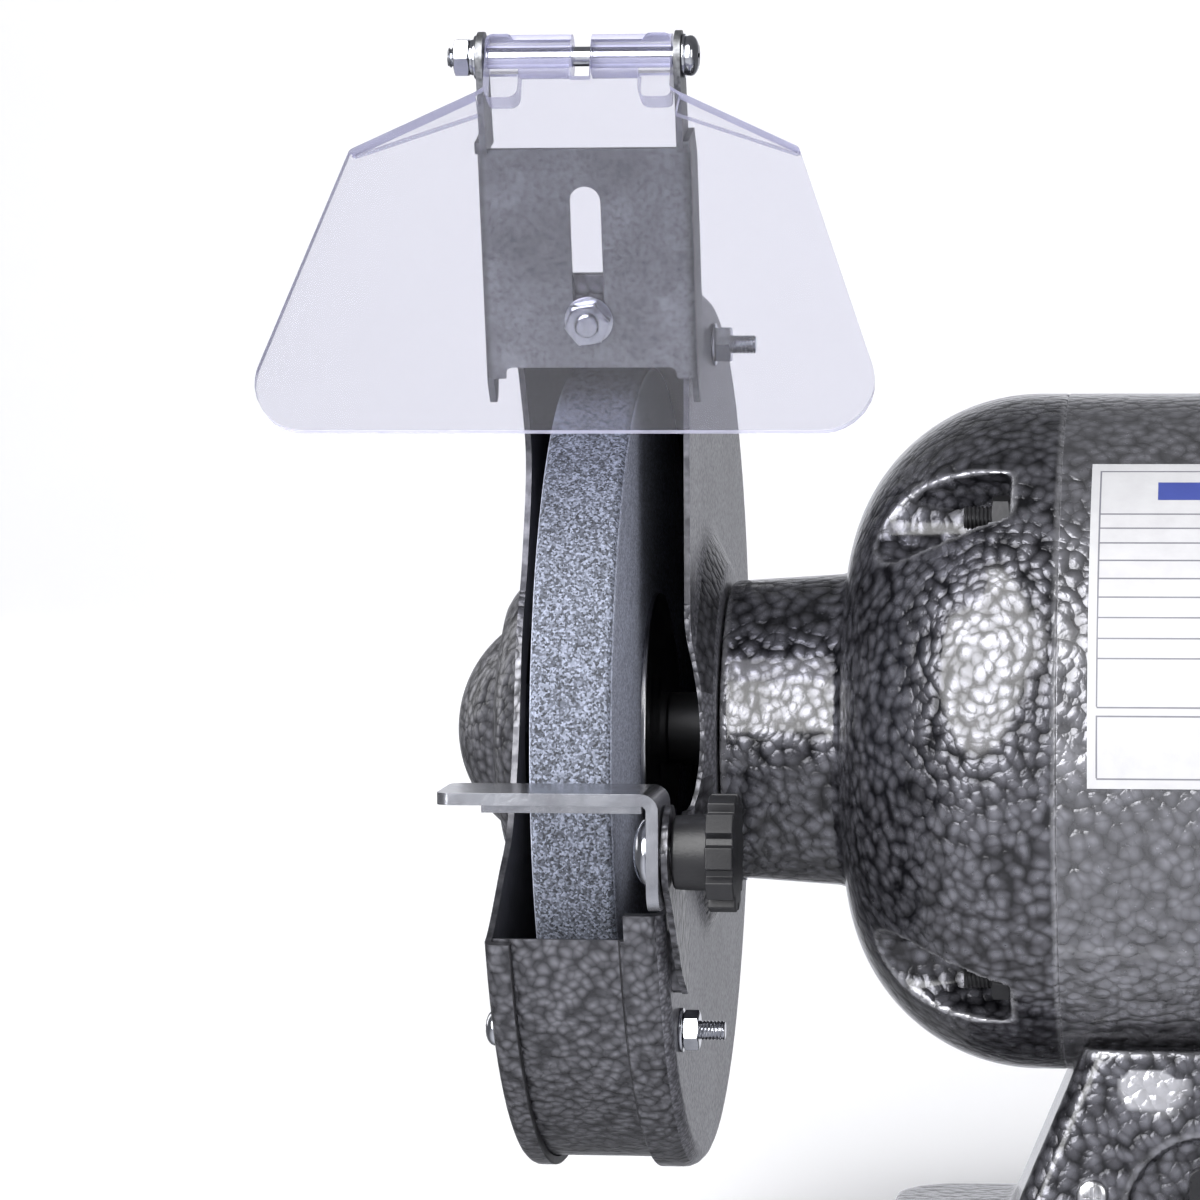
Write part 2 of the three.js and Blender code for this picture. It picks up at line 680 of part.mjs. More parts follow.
function bottomPlate() {
  return footSlab(1.5, FOOT.bottom - PAD.plate, FOOT.bottom).subtract(benchHoles(BENCH_HOLE.radius + 1));
}

function rubberFoot() {
  const top = FOOT.bottom - PAD.plate;
  const profile = [[0, -SHAFT_HEIGHT], [PAD.radius - 1, -SHAFT_HEIGHT], [PAD.radius, top], [0, top]];
  return new THREE.LatheGeometry(profile.map(([r, z]) => new THREE.Vector2(r, z)), 18).rotateX(Math.PI / 2);
}

function cableGland() {
  const { x, z } = GLAND;
  const flange = rodY(PEDESTAL.back + FIT, PEDESTAL.back + 7, GLAND.flange, x, z, 12);
  const stem = rodY(PEDESTAL.back - 8, PEDESTAL.back + 3, GLAND.stem, x, z, 10);
  return join(flange, stem).subtract(rodY(20, 70, GLAND.bore, x, z, 8));
}

function capacitor() {
  const { from, to, y, radius } = CAPACITOR;
  return rod(from, to, radius, y, FOOT.bottom + radius + 0.1, 12);
}

function panelScrew() {
  const { x, z, head, shank } = PANEL_SCREW;
  const face = PEDESTAL.front;
  return join(rodY(face - 1.6, face - 0.1, head, -x, z, 8), rodY(face - 1, face + 6, shank, -x, z, 8));
}

function switchBody() {
  const face = PEDESTAL.front + SWITCH.deep - FIT;
  const low = SWITCH.z - SWITCH.tall;
  const high = SWITCH.z + SWITCH.tall;
  const bezel = block(-SWITCH.half, SWITCH.half, face - 2.6, face, low, high);
  const can = block(-SWITCH.half + 1.6, SWITCH.half - 1.6, face - 1, -16, low + 1.6, high - 1.6);
  const well = block(-ROCKER.half - 0.5, ROCKER.half + 0.5, -60, -31,
    SWITCH.z - ROCKER.tall - 1, SWITCH.z + ROCKER.tall + 1);
  return join(bezel, can).subtract(well);
}

// A shallow V that tips about the middle of its well.
function rocker() {
  const outline = [[-5.2, ROCKER.tall], [-3.4, 0], [-5.2, -ROCKER.tall], [2, -ROCKER.tall + 2],
    [4.5, 0], [2, ROCKER.tall - 2]];
  const turn = new THREE.Matrix4().makeRotationX(ROCKER.rest).setPosition(0, ROCKER.pivot, SWITCH.z);
  return solid(geometryOf(prismX(outline, -ROCKER.half, ROCKER.half)).applyMatrix4(turn));
}

add('base_casting', baseCasting(), paint);
add('bottom_plate', bottomPlate(), galvanised);
for (const [row, y] of [['front', PAD.front], ['rear', PAD.back]]) {
  for (const [side, x] of [['left', -PAD.x], ['right', PAD.x]]) {
    const foot = geometryOf(solid(rubberFoot().translate(x, y, 0)));
    place(`rubber_foot_${row}_${side}`, foot, rubber);
  }
}
add('cable_gland', cableGland(), blackPlastic);
add('capacitor', capacitor(), capCase);
addPair('panel_screw', panelScrew(), zinc);
add('switch_body', switchBody(), blackPlastic);
add('switch_rocker', rocker(), blackPlastic);

export default grinder;
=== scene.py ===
"""Looks for a double-wheel bench grinder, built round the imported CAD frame.

Meshes are made in millimetres from the shaft axis, for the left side, and carried into the frame in metres.
"""
import json
import math

import bmesh
import bpy
from mathutils import Matrix, Vector

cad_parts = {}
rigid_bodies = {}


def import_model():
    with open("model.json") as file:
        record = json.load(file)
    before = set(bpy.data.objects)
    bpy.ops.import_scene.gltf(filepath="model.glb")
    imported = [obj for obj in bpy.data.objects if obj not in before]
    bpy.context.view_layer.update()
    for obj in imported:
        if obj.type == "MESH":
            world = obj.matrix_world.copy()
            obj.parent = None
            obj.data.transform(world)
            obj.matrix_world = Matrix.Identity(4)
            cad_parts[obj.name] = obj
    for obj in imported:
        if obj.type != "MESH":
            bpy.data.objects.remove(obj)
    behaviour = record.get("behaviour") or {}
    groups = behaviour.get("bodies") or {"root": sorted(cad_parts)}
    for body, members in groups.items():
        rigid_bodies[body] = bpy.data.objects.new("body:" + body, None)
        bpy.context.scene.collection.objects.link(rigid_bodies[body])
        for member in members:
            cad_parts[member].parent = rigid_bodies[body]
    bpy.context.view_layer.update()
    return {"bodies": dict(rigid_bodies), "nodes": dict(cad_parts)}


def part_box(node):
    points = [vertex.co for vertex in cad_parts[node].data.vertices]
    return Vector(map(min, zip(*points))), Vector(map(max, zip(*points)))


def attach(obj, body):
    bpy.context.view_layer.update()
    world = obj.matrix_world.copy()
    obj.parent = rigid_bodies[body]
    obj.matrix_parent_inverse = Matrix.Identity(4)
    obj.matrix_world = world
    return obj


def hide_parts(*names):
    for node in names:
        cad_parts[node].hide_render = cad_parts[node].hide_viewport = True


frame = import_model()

MM = 0.001


# ---------------------------------------------------------------- sizes from the frame
def middle(node):
    low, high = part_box(node)
    return (Vector(low) + Vector(high)) / 2


AXIS = middle("spindle_shaft")
TO_FRAME = Matrix.Translation((0, AXIS.y, AXIS.z)) @ Matrix.Scale(MM, 4)
FROM_FRAME = TO_FRAME.inverted()


def span(node):
    """Lowest and highest corner of a CAD node, in millimetres from the shaft axis."""
    low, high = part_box(node)
    return FROM_FRAME @ Vector(low), FROM_FRAME @ Vector(high)


SEAM = span("stator_housing")[1].x
MOTOR_R = span("stator_housing")[1].z
NECK_END = -span("left_end_bell")[0].x
GUARD_R = span("left_wheel_guard")[1].y
WHEEL_LOW, WHEEL_HIGH = span("left_grinding_wheel")
REST_LOW, REST_HIGH = span("left_tool_rest")
KNOB_LOW, KNOB_HIGH = span("left_rest_knob")
FOOT_LOW, FOOT_HIGH = span("base_casting")
GROUND = -AXIS.z / MM

MOTOR_WALL = 4
BELL_END = 84
SHOULDER = 39
NECK_ROOT = 31.8
NECK_TIP = 30.5
BEARING_SEAT_R = 17.7
BEARING_SEAT_X = 95
SHAFT_HOLE_R = 12
SHEET = 1.2
HUB_X = -108.6
COVER_X = -148.6
PAN_X = -113.2
BARREL_R = GUARD_R - 2
STUD_Y = 42
STUD_Z = 45.5
POCKET_FLOOR = 49
POCKET_R = 8.75
BOSS_R = 11.5
LEAN = math.radians(15)
SHIELD_LEAN = math.radians(21)
CLAMP = Vector((-132.5, -42.8, 84.7))
HINGE_UP = 53
HINGE_BACK = 1.6
M5_HOLE_R = 2.8
REST_BOLT = ((KNOB_LOW.y + KNOB_HIGH.y) / 2, (KNOB_LOW.z + KNOB_HIGH.z) / 2)
GUARD_BOLT_RING = 79.5
GUARD_BOLT_ANGLES = (96, -43.5, 206)
SWITCH_Z = -94.3
PANEL_SCREW_X = 32.9
PANEL_SCREW_Z = -88.8
FOOT_BOLT_X = 66
FOOT_BOLT_Y = -3
GLAND_X = -25
GLAND_Z = -92


# ---------------------------------------------------------------- mesh helpers
def to_object(bm):
    mesh = bpy.data.meshes.new("shape")
    bm.to_mesh(mesh)
    bm.free()
    obj = bpy.data.objects.new("shape", mesh)
    bpy.context.collection.objects.link(obj)
    return obj


def new_object(bm):
    """A clean object: points merged and faces turned outwards."""
    bmesh.ops.remove_doubles(bm, verts=bm.verts, dist=1e-4)
    bmesh.ops.recalc_face_normals(bm, faces=bm.faces)
    return to_object(bm)


def skin(bm, rings):
    """Sides between rings of points in a row, and an end face at either end."""
    for a, b in zip(rings, rings[1:]):
        for k in range(len(a)):
            j = (k + 1) % len(a)
            bm.faces.new((a[k], a[j], b[j], b[k]))
    bm.faces.new(rings[0])
    bm.faces.new(rings[-1])
    return new_object(bm)


def rounded(corners, steps=4):
    """An outline whose corners (u, v, radius) become arcs."""
    out = []
    for i, corner in enumerate(corners):
        here = Vector(corner[:2])
        if len(corner) < 3:
            out.append(tuple(here))
            continue
        before = (Vector(corners[i - 1][:2]) - here).normalized()
        after = (Vector(corners[(i + 1) % len(corners)][:2]) - here).normalized()
        half = before.angle(after) / 2
        centre = here + (before + after).normalized() * corner[2] / math.sin(half)
        start = here + before * corner[2] / math.tan(half) - centre
        end = here + after * corner[2] / math.tan(half) - centre
        for k in range(steps + 1):
            out.append(tuple(centre + start.lerp(end, k / steps).normalized() * corner[2]))
    return out


def arc(cu, cv, radius, start, end, steps):
    points = []
    for k in range(steps + 1):
        angle = math.radians(start + (end - start) * k / steps)
        points.append((cu + radius * math.cos(angle), cv + radius * math.sin(angle)))
    return points


def circle(cu, cv, radius, sides=32):
    return arc(cu, cv, radius, 0, 360 * (sides - 1) / sides, sides - 1)


def smooth_path(points, steps=6):
    """A Catmull-Rom curve through the points."""
    out = []
    for i in range(len(points) - 1):
        p = [Vector(points[max(0, min(len(points) - 1, i + k))]) for k in (-1, 0, 1, 2)]
        for k in range(steps):
            t = k / steps
            linear = (p[2] - p[0]) * t
            square = (2 * p[0] - 5 * p[1] + 4 * p[2] - p[3]) * t ** 2
            cubic = (3 * p[1] - p[0] - 3 * p[2] + p[3]) * t ** 3
            out.append(tuple(0.5 * (2 * p[1] + linear + square + cubic)))
    return out + [tuple(points[-1])]


def lathe(profile, sides=128, y=0, z=0):
    """Revolves the closed outline [(x, radius)] about a line along X."""
    bm = bmesh.new()
    rings = []
    for k in range(sides):
        angle = 2 * math.pi * k / sides
        c, s = math.cos(angle), math.sin(angle)
        rings.append([bm.verts.new((x, y + r * c, z + r * s)) for x, r in profile])
    count = len(profile)
    for k in range(sides):
        a, b = rings[k], rings[(k + 1) % sides]
        for i in range(count):
            j = (i + 1) % count
            if profile[i][1] > 1e-6 or profile[j][1] > 1e-6:
                bm.faces.new((a[i], b[i], b[j], a[j]))
    return new_object(bm)


AXES = {
    "x": lambda u, v, w: (w, u, v),
    "y": lambda u, v, w: (u, w, v),
    "z": lambda u, v, w: (u, v, w),
}


def prism(outline, low, high, axis="x"):
    """Extrudes an outline along an axis; its points are the other two axes in order."""
    bm = bmesh.new()
    place = AXES[axis]
    return skin(bm, [[bm.verts.new(place(u, v, w)) for u, v in outline] for w in (low, high)])


def rectangle(u0, v0, u1, v1, *radius):
    return [(u0, v0, *radius), (u1, v0, *radius), (u1, v1, *radius), (u0, v1, *radius)]


def box(low, high):
    (x0, y0, z0), (x1, y1, z1) = low, high
    return prism(rectangle(x0, y0, x1, y1), z0, z1, "z")


def settle(obj):
    """Applies the object's modifiers."""
    deps = bpy.context.evaluated_depsgraph_get()
    mesh = bpy.data.meshes.new_from_object(obj.evaluated_get(deps))
    obj.modifiers.clear()
    old = obj.data
    obj.data = mesh
    bpy.data.meshes.remove(old)
    return obj


def boolean(body, tool, operation):
    modifier = body.modifiers.new("boolean", "BOOLEAN")
    modifier.operation = operation
    modifier.solver = "MANIFOLD"
    modifier.object = tool
    settle(body)
    mesh = tool.data
    bpy.data.objects.remove(tool)
    bpy.data.meshes.remove(mesh)


def cut(body, *tools):
    for tool in tools:
        boolean(body, tool, "DIFFERENCE")
    return body


def join(body, *others):
    for other in others:
        boolean(body, other, "UNION")
    return body


def gather(*objects):
    """Puts separate closed shapes in one mesh."""
    bm = bmesh.new()
    for obj in objects:
        bm.from_mesh(obj.data)
        mesh = obj.data
        bpy.data.objects.remove(obj)
        bpy.data.meshes.remove(mesh)
    return to_object(bm)


def soften(obj, width, segments=3, angle=30):
    modifier = obj.modifiers.new("soften", "BEVEL")
    modifier.width = width
    modifier.segments = segments
    modifier.limit_method = "ANGLE"
    modifier.angle_limit = math.radians(angle)
    modifier.use_clamp_overlap = True
    return settle(obj)


def melt(obj, voxel, rounds, kept):
    """Cast look: remeshed at the voxel size, smoothed, then thinned to the kept share of its faces."""
    remesh = obj.modifiers.new("remesh", "REMESH")
    remesh.mode = "VOXEL"
    remesh.voxel_size = voxel
    smooth = obj.modifiers.new("smooth", "SMOOTH")
    smooth.factor = 0.5
    smooth.iterations = rounds
    settle(obj)
    thin = obj.modifiers.new("thin", "DECIMATE")
    thin.ratio = kept
    settle(obj)


def moved(obj, matrix):
    obj.data.transform(matrix)
    if matrix.determinant() < 0:
        obj.data.flip_normals()
    return obj


# ---------------------------------------------------------------- hardware
def thread(x0, x1, radius, pitch, y=0, z=0, sides=24):
    """A threaded end with a helical groove and a chamfered tip at x0."""
    bm = bmesh.new()
    per_turn = 6
    depth = pitch * 0.5
    rows = []
    count = int((x1 - x0) / pitch * per_turn)
    for i in range(count + 1):
        x = x0 + (x1 - x0) * i / count
        chamfer = min(1, (x - x0 + 0.15) / depth)
        ring = []
        for k in range(sides):
            turn = (x / pitch - k / sides) % 1
            groove = abs(turn - 0.5) * 2
            r = (radius - depth * groove) * (0.8 + 0.2 * chamfer)
            angle = 2 * math.pi * k / sides
            ring.append(bm.verts.new((x, y + r * math.cos(angle), z + r * math.sin(angle))))
        rows.append(ring)
    return skin(bm, rows)


def rod(x0, x1, radius, y=0, z=0, edge=0.2, sides=32):
    return lathe(rounded([(x0, 0), (x0, radius, edge), (x1, radius, edge), (x1, 0)]), sides, y, z)


def washer(x0, x1, inner, outer, y=0, z=0):
    edge = (x1 - x0) * 0.3
    corners = [(x0, inner, edge), (x0, outer, edge), (x1, outer, edge), (x1, inner, edge)]
    return lathe(rounded(corners, 2), 40, y, z)


def hex_nut(x0, x1, flats, bore, y=0, z=0, turn=0):
    """A hexagon nut with both ends chamfered."""
    corner = flats / math.sqrt(3)
    outline = [(y + corner * math.cos(a), z + corner * math.sin(a))
               for a in (math.radians(turn + 60 * k) for k in range(6))]
    body = prism(outline, x0, x1)
    rise = (corner - flats / 2) * 0.6
    lens = [(x0 - 0.01, 0), (x0 - 0.01, flats * 0.47), (x0 + rise, corner + 0.05),
            (x1 - rise, corner + 0.05), (x1 + 0.01, flats * 0.47), (x1 + 0.01, 0)]
    boolean(body, lathe(lens, 48, y, z), "INTERSECT")
    cut(body, lathe([(x0 - 1, 0), (x0 - 1, bore), (x1 + 1, bore), (x1 + 1, 0)], 32, y, z))
    return soften(body, 0.12, 2, 25)


def pan_head(seat, direction, radius, height, y=0, z=0):
    """A domed screw head with a cross recess, rising from seat."""
    top = seat + direction * height
    rim = seat + direction * height * 0.35
    profile = [(seat, 0), (seat, radius * 0.96), (rim, radius)]
    for k in range(1, 7):
        angle = math.radians(90 * k / 7)
        profile.append((rim + (top - rim) * math.sin(angle), radius * math.cos(angle) ** 0.8))
    profile.append((top, 0))
    head = lathe(profile, 48, y, z)
    deep = top - direction * height * 0.6
    low, high = sorted((deep, top + direction))
    arm, half = radius * 0.52, radius * 0.11
    for du, dv in ((arm, half), (half, arm)):
        cut(head, prism(rectangle(y - du, z - dv, y + du, z + dv), low, high))
    return soften(head, 0.1, 2, 40)


# ---------------------------------------------------------------- materials
def put(tree, node, key, value):
    """Links or sets an input, named by its label or by i and its number."""
    socket = node.inputs[int(key[1:]) if key[0] == "i" and key[1:].isdigit() else key]
    if isinstance(value, bpy.types.NodeSocket):
        tree.links.new(value, socket)
    else:
        socket.default_value = value


def add_node(tree, kind, settings=None, **inputs):
    node = tree.nodes.new("ShaderNode" + kind)
    for key, value in (settings or {}).items():
        setattr(node, key, value)
    for key, value in inputs.items():
        put(tree, node, key.replace("_", " "), value)
    return node


class Look:
    """A node material with one Principled shader, which starts from plain values."""

    def __init__(self, name, color, roughness, metallic=0.0):
        self.material = bpy.data.materials.new(name)
        self.material.use_nodes = True
        self.tree = self.material.node_tree
        self.shader = self.tree.nodes["Principled BSDF"]
        self.shader.inputs["Base Color"].default_value = (*color, 1)
        self.shader.inputs["Roughness"].default_value = roughness
        self.shader.inputs["Metallic"].default_value = metallic
        self.place = self.add("TexCoord").outputs["Object"]

    def add(self, kind, settings=None, **inputs):
        return add_node(self.tree, kind, settings, **inputs)

    def noise(self, size, detail=3, rough=0.55, vector=None):
        """Noise from 0 to 1 whose features are about size metres across."""
        return self.add("TexNoise", None, Vector=vector or self.place, Scale=1 / size, Detail=detail,
                        Roughness=rough).outputs["Fac"]

    def cells(self, size, vector=None, output="Distance"):
        """Rounded cells about size metres across."""
        return self.add("TexVoronoi", None, Vector=vector or self.place, Scale=1 / size).outputs[output]

    def math(self, operation, a, b=0.0):
        return self.add("Math", {"operation": operation}, i0=a, i1=b).outputs[0]

    def ramp(self, fac, *stops):
        """Colour ramp through (position, grey or colour) stops."""
        node = self.add("ValToRGB", None, Fac=fac)
        elements = node.color_ramp.elements
        while len(elements) < len(stops):
            elements.new(0.5)
        for element, (position, value) in zip(elements, stops):
            element.position = position
            rgb = value if isinstance(value, tuple) else (value,) * 3
            element.color = (*rgb, 1)
        return node.outputs["Color"]

    def mix(self, fac, a, b, blend="MIX"):
        node = self.add("Mix", {"data_type": "RGBA", "blend_type": blend})
        for index, value in ((0, fac), (6, a), (7, b)):
            if isinstance(value, tuple):
                value = (*value, 1)
            put(self.tree, node, f"i{index}", value)
        return node.outputs[2]

    def warped(self, size, amount):
        """Position pushed about by noise, so that cells lose their straight sides."""
        noise = self.add("TexNoise", None, Vector=self.place, Scale=1 / size, Detail=2).outputs["Color"]
        centred = self.add("VectorMath", {"operation": "SUBTRACT"}, i0=noise, i1=(0.5, 0.5, 0.5)).outputs[0]
        scaled = self.add("VectorMath", {"operation": "SCALE"}, i0=centred, Scale=amount).outputs[0]
        return self.add("VectorMath", {"operation": "ADD"}, i0=self.place, i1=scaled).outputs[0]

    def bump(self, height, depth):
        node = self.add("Bump", None, Height=height, Distance=depth)
        put(self.tree, self.shader, "Normal", node.outputs[0])

    def color(self, value):
        put(self.tree, self.shader, "Base Color", value)

    def roughness(self, fac, low, high):
        value = self.add("MapRange", None, Value=fac, To_Min=low, To_Max=high).outputs[0]
        put(self.tree, self.shader, "Roughness", value)


def hammered(name, size, dark, light, depth, rough, coat, ridge_wear_and_highlight=False):
    """Hammer finish enamel: rounded pebbles parted by creases, darkened by painted shade over a darker
    pigment, and pale ridges that are part wear and part painted highlight.
    """
    look = Look(name, light, rough, 0.6)
    where = look.warped(size * 2.6, size * 1.3)
    far = look.cells(size, where)
    near = look.cells(size * 0.5, look.warped(size * 0.8, size * 1.2))
    dome = look.math("SUBTRACT", 1.0, look.math("MULTIPLY", far, far))
    bead = look.math("SUBTRACT", 1.0, look.math("MULTIPLY", near, near))
    height = look.math("ADD", dome, look.math("MULTIPLY", bead, 0.12))
    # painted shade: the colour darkens towards each cell's border, shade in the creases on top of the darker
    # crease pigment
    tone = look.mix(look.ramp(far, (0.1, 1.0), (0.55, 0.3), (0.8, 0.0)), dark, light)
    cloud = look.ramp(look.noise(0.02), (0.3, 0.7), (0.7, 1.0))
    shade = look.mix(1.0, tone, cloud, "MULTIPLY")
    # painted highlight: convex ridges turn pale grey, part edge wear and part painted rim highlight
    if ridge_wear_and_highlight:
        ridge_wear_and_highlight_mask = look.ramp(look.add("NewGeometry").outputs["Pointiness"], (0.51, 0.0), (0.56, 0.7))
        shade = look.mix(ridge_wear_and_highlight_mask, shade, (0.5, 0.5, 0.53))
    look.color(shade)
    look.roughness(look.noise(size * 0.6), rough - 0.05, rough + 0.1)
    look.bump(height, depth)
    look.shader.inputs["Coat Weight"].default_value = coat
    look.shader.inputs["Coat Roughness"].default_value = 0.1
    return look.material


def black_paint():
    look = Look("inner_black_paint", (0.012, 0.012, 0.014), 0.5)
    dust = look.ramp(look.noise(0.004), (0.45, (0.008, 0.008, 0.01)), (0.75, (0.03, 0.03, 0.034)))
    look.color(dust)
    look.bump(look.noise(0.0012), 0.00012)
    return look.material


def worn_edge():
    look = Look("worn_edge", (0.3, 0.3, 0.31), 0.4, 0.8)
    chips = look.noise(0.0025, 4)
    look.color(look.ramp(chips, (0.4, (0.05, 0.05, 0.056)), (0.7, (0.12, 0.12, 0.13))))
    look.bump(chips, 0.0001)
    return look.material


def bright_zinc():
    look = Look("bright_zinc", (0.78, 0.79, 0.8), 0.2, 1.0)
    stain = look.noise(0.006, 4)
    look.color(look.ramp(stain, (0.3, (0.36, 0.37, 0.4)), (0.7, (0.6, 0.61, 0.65))))
    look.roughness(look.noise(0.002), 0.08, 0.2)
    look.bump(look.noise(0.0008), 0.00002)
    return look.material


def plated_sheet():
    """Zinc plate with a fine rolled grain."""
    look = Look("plated_sheet", (0.35, 0.36, 0.38), 0.2, 0.95)
    grain = look.noise(0.0012, 3)
    look.color(look.ramp(look.noise(0.008, 4), (0.3, (0.27, 0.275, 0.3)), (0.7, (0.42, 0.43, 0.46))))
    look.roughness(grain, 0.15, 0.26)
    look.bump(grain, 0.00003)
    return look.material


def galvanised():
    """Rolled sheet with cloudy zinc and fine pits."""
    look = Look("galvanised", (0.5, 0.51, 0.52), 0.42, 0.9)
    cloud = look.noise(0.012, 5, 0.65)
    speck = look.noise(0.0009, 2)
    dull, middling, bright = (0.15, 0.153, 0.162), (0.23, 0.234, 0.245), (0.36, 0.366, 0.38)
    tone = look.ramp(cloud, (0.3, dull), (0.55, middling), (0.75, bright))
    pits = look.ramp(speck, (0.32, 0.55), (0.6, 1.0))
    look.color(look.mix(1.0, tone, pits, "MULTIPLY"))
    look.roughness(speck, 0.34, 0.52)
    look.bump(speck, 0.00006)
    return look.material


def turned_steel():
    look = Look("turned_steel", (0.55, 0.55, 0.56), 0.25, 1.0)
    stretch = look.add("Mapping", None, Vector=look.place, Scale=(1, 0.05, 0.05)).outputs[0]
    rings = look.noise(0.0006, 2, 0.5, stretch)
    look.color(look.ramp(rings, (0.3, (0.38, 0.38, 0.39)), (0.7, (0.68, 0.68, 0.7))))
    look.bump(rings, 0.00003)
    return look.material


def wheel_grit(name, size, middle_grey, contrast):
    """Bonded grains: pale, blue-grey and black, with open pores."""
    look = Look(name, middle_grey, 0.85)
    grain = look.cells(size, output="Color")
    pick = look.add("SeparateColor", None, Color=grain).outputs[0]
    low = 1 - contrast
    dark = tuple(c * low for c in middle_grey)
    pale = tuple(c * (1 + 2.2 * contrast) for c in middle_grey)
    tone = look.ramp(pick, (0.0, dark), (0.5, middle_grey), (1.0, pale))
    cloud = look.ramp(look.noise(0.003), (0.3, 0.8), (0.7, 1.0))
    look.color(look.mix(1.0, tone, cloud, "MULTIPLY"))
    pores = look.cells(size * 1.1)
    look.bump(look.math("ADD", pores, look.math("MULTIPLY", pick, 0.6)), size * 0.22)
    return look.material


def moulded_black(name, rough):
    look = Look(name, (0.01, 0.01, 0.012), rough)
    grain = look.noise(0.0005, 2)
    look.color(look.ramp(look.noise(0.008), (0.3, (0.007, 0.007, 0.008)), (0.7, (0.014, 0.014, 0.016))))
    look.shader.inputs["Specular IOR Level"].default_value = 0.35
    look.roughness(grain, rough - 0.06, rough + 0.1)
    look.bump(grain, 0.00003)
    return look.material


def clear_sheet(name, tint, least, most):
    """Clear sheet: mostly see-through face on, glossy at a glance."""
    look = Look(name, tint, 0.08)
    look.shader.inputs["Specular IOR Level"].default_value = 0.6
    look.roughness(look.noise(0.01), 0.04, 0.12)
    clear = look.add("BsdfTransparent")
    clear.inputs["Color"].default_value = (0.86, 0.86, 0.9, 1)
    glance = look.add("LayerWeight")
    glance.inputs["Blend"].default_value = 0.35
    scratch = look.add("Mapping", None, Vector=look.place, Scale=(3, 3, 0.3)).outputs[0]
    haze = look.math("MULTIPLY", look.noise(0.004, 6, 0.7, scratch), 0.03)
    fresnel = glance.outputs["Fresnel"]
    amount = look.add("MapRange", None, Value=fresnel, To_Min=least, To_Max=most).outputs[0]
    fac = look.math("ADD", amount, haze)
    blend = look.add("MixShader", None, Fac=fac, i1=clear.outputs[0], i2=look.shader.outputs[0])
    look.tree.links.new(blend.outputs[0], look.tree.nodes["Material Output"].inputs["Surface"])
    return look.material


def plain_grain(name, color, rough, metallic=0.0):
    """A solid colour broken up by faint clouding and a fine grain."""
    look = Look(name, color, rough, metallic)
    grain = look.noise(0.001)
    darker = tuple(c * 0.92 for c in color)
    look.color(look.ramp(look.noise(0.006, 4), (0.35, darker), (0.65, color)))
    look.roughness(grain, rough - 0.05, rough + 0.08)
    look.bump(grain, 0.00003)
    return look.material


def striped(name, color, dark, pitch, metallic):
    """Stacked laminations or wound wire: fine bands along the shaft."""
    look = Look(name, color, 0.4, metallic)
    along = look.add("SeparateXYZ", None, Vector=look.place).outputs[0]
    wave = look.math("SINE", look.math("MULTIPLY", along, 2 * math.pi / pitch))
    band = look.math("ADD", look.math("MULTIPLY", wave, 0.5), 0.5)
    look.color(look.ramp(band, (0.2, dark), (0.8, color)))
    look.bump(wave, pitch * 0.1)
    return look.material


# each hammered paint has painted shade in its creases; the cast paint also has painted highlights on its
# ridges
PAINT = hammered("hammered_paint", 0.0025, (0.004, 0.004, 0.006), (0.15, 0.15, 0.172),
                 depth=0.00052, rough=0.22, coat=0.6, ridge_wear_and_highlight=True)
SHEET_PAINT = hammered("hammered_sheet_paint", 0.002, (0.035, 0.035, 0.04), (0.17, 0.17, 0.19),
                       depth=0.0004, rough=0.3, coat=0.15)
FINE_SHEET_PAINT = hammered("stippled_sheet_paint", 0.0009, (0.1, 0.1, 0.115), (0.34, 0.34, 0.38),
                            depth=0.0001, rough=0.35, coat=0.1)
BLACK = black_paint()
EDGE = worn_edge()
ZINC = bright_zinc()
PLATED = plated_sheet()
GALVANISED = galvanised()
STEEL = turned_steel()
# near-black steel for the motor studs and the spindle bar
DARK_STEEL = plain_grain("near_black_steel", (0.03, 0.03, 0.032), 0.45, 0.6)
GRIT = wheel_grit("wheel_grit", 0.0004, (0.09, 0.099, 0.127), 0.8)
# the wheel's sides get a smoother grit in a much paler grey; the paler grey is painted light on the grazing
# side faces
GRIT_SIDE_LIGHTENED = wheel_grit("wheel_side_grit_lightened", 0.0004, (0.32, 0.34, 0.42), 0.3)
KNOB_BLACK = moulded_black("knob_plastic", 0.38)
SWITCH_BLACK = moulded_black("switch_plastic", 0.28)
RUBBER = moulded_black("foot_rubber", 0.75)
CLEAR = clear_sheet("clear_sheet", (0.16, 0.16, 0.19), 0.02, 0.6)
CLEAR_EDGE = clear_sheet("clear_edge", (0.72, 0.72, 0.9), 0.4, 0.9)
FILM = plain_grain("label_film", (0.36, 0.36, 0.372), 0.4)
INK = plain_grain("label_ink", (0.12, 0.12, 0.14), 0.4)
BLUE_INK = plain_grain("label_blue", (0.035, 0.05, 0.2), 0.35)
COPPER = striped("wound_copper", (0.5, 0.2, 0.08), (0.16, 0.05, 0.02), 0.0012, 0.7)
LAMINATION = striped("lamination", (0.3, 0.3, 0.31), (0.1, 0.1, 0.11), 0.001, 0.8)
CASE = plain_grain("capacitor_case", (0.5, 0.48, 0.4), 0.45)


# ---------------------------------------------------------------- placing pieces
def paint_faces(obj, rule, materials):
    """Gives each face the material that rule(centre, normal) names by index."""
    obj.data.materials.clear()
    for material in materials:
        obj.data.materials.append(material)
    if rule:
        for polygon in obj.data.polygons:
            polygon.material_index = rule(polygon.center, polygon.normal)


def finish_mesh(obj, name, angle):
    """Shades smooth, apart from edges sharper than the angle in degrees."""
    obj.name = name
    obj.data.name = name
    obj.data.shade_smooth()
    obj.data.set_sharp_from_angle(angle=math.radians(angle))
    weighted = obj.modifiers.new("flat_faces", "WEIGHTED_NORMAL")
    weighted.keep_sharp = True
    settle(obj)


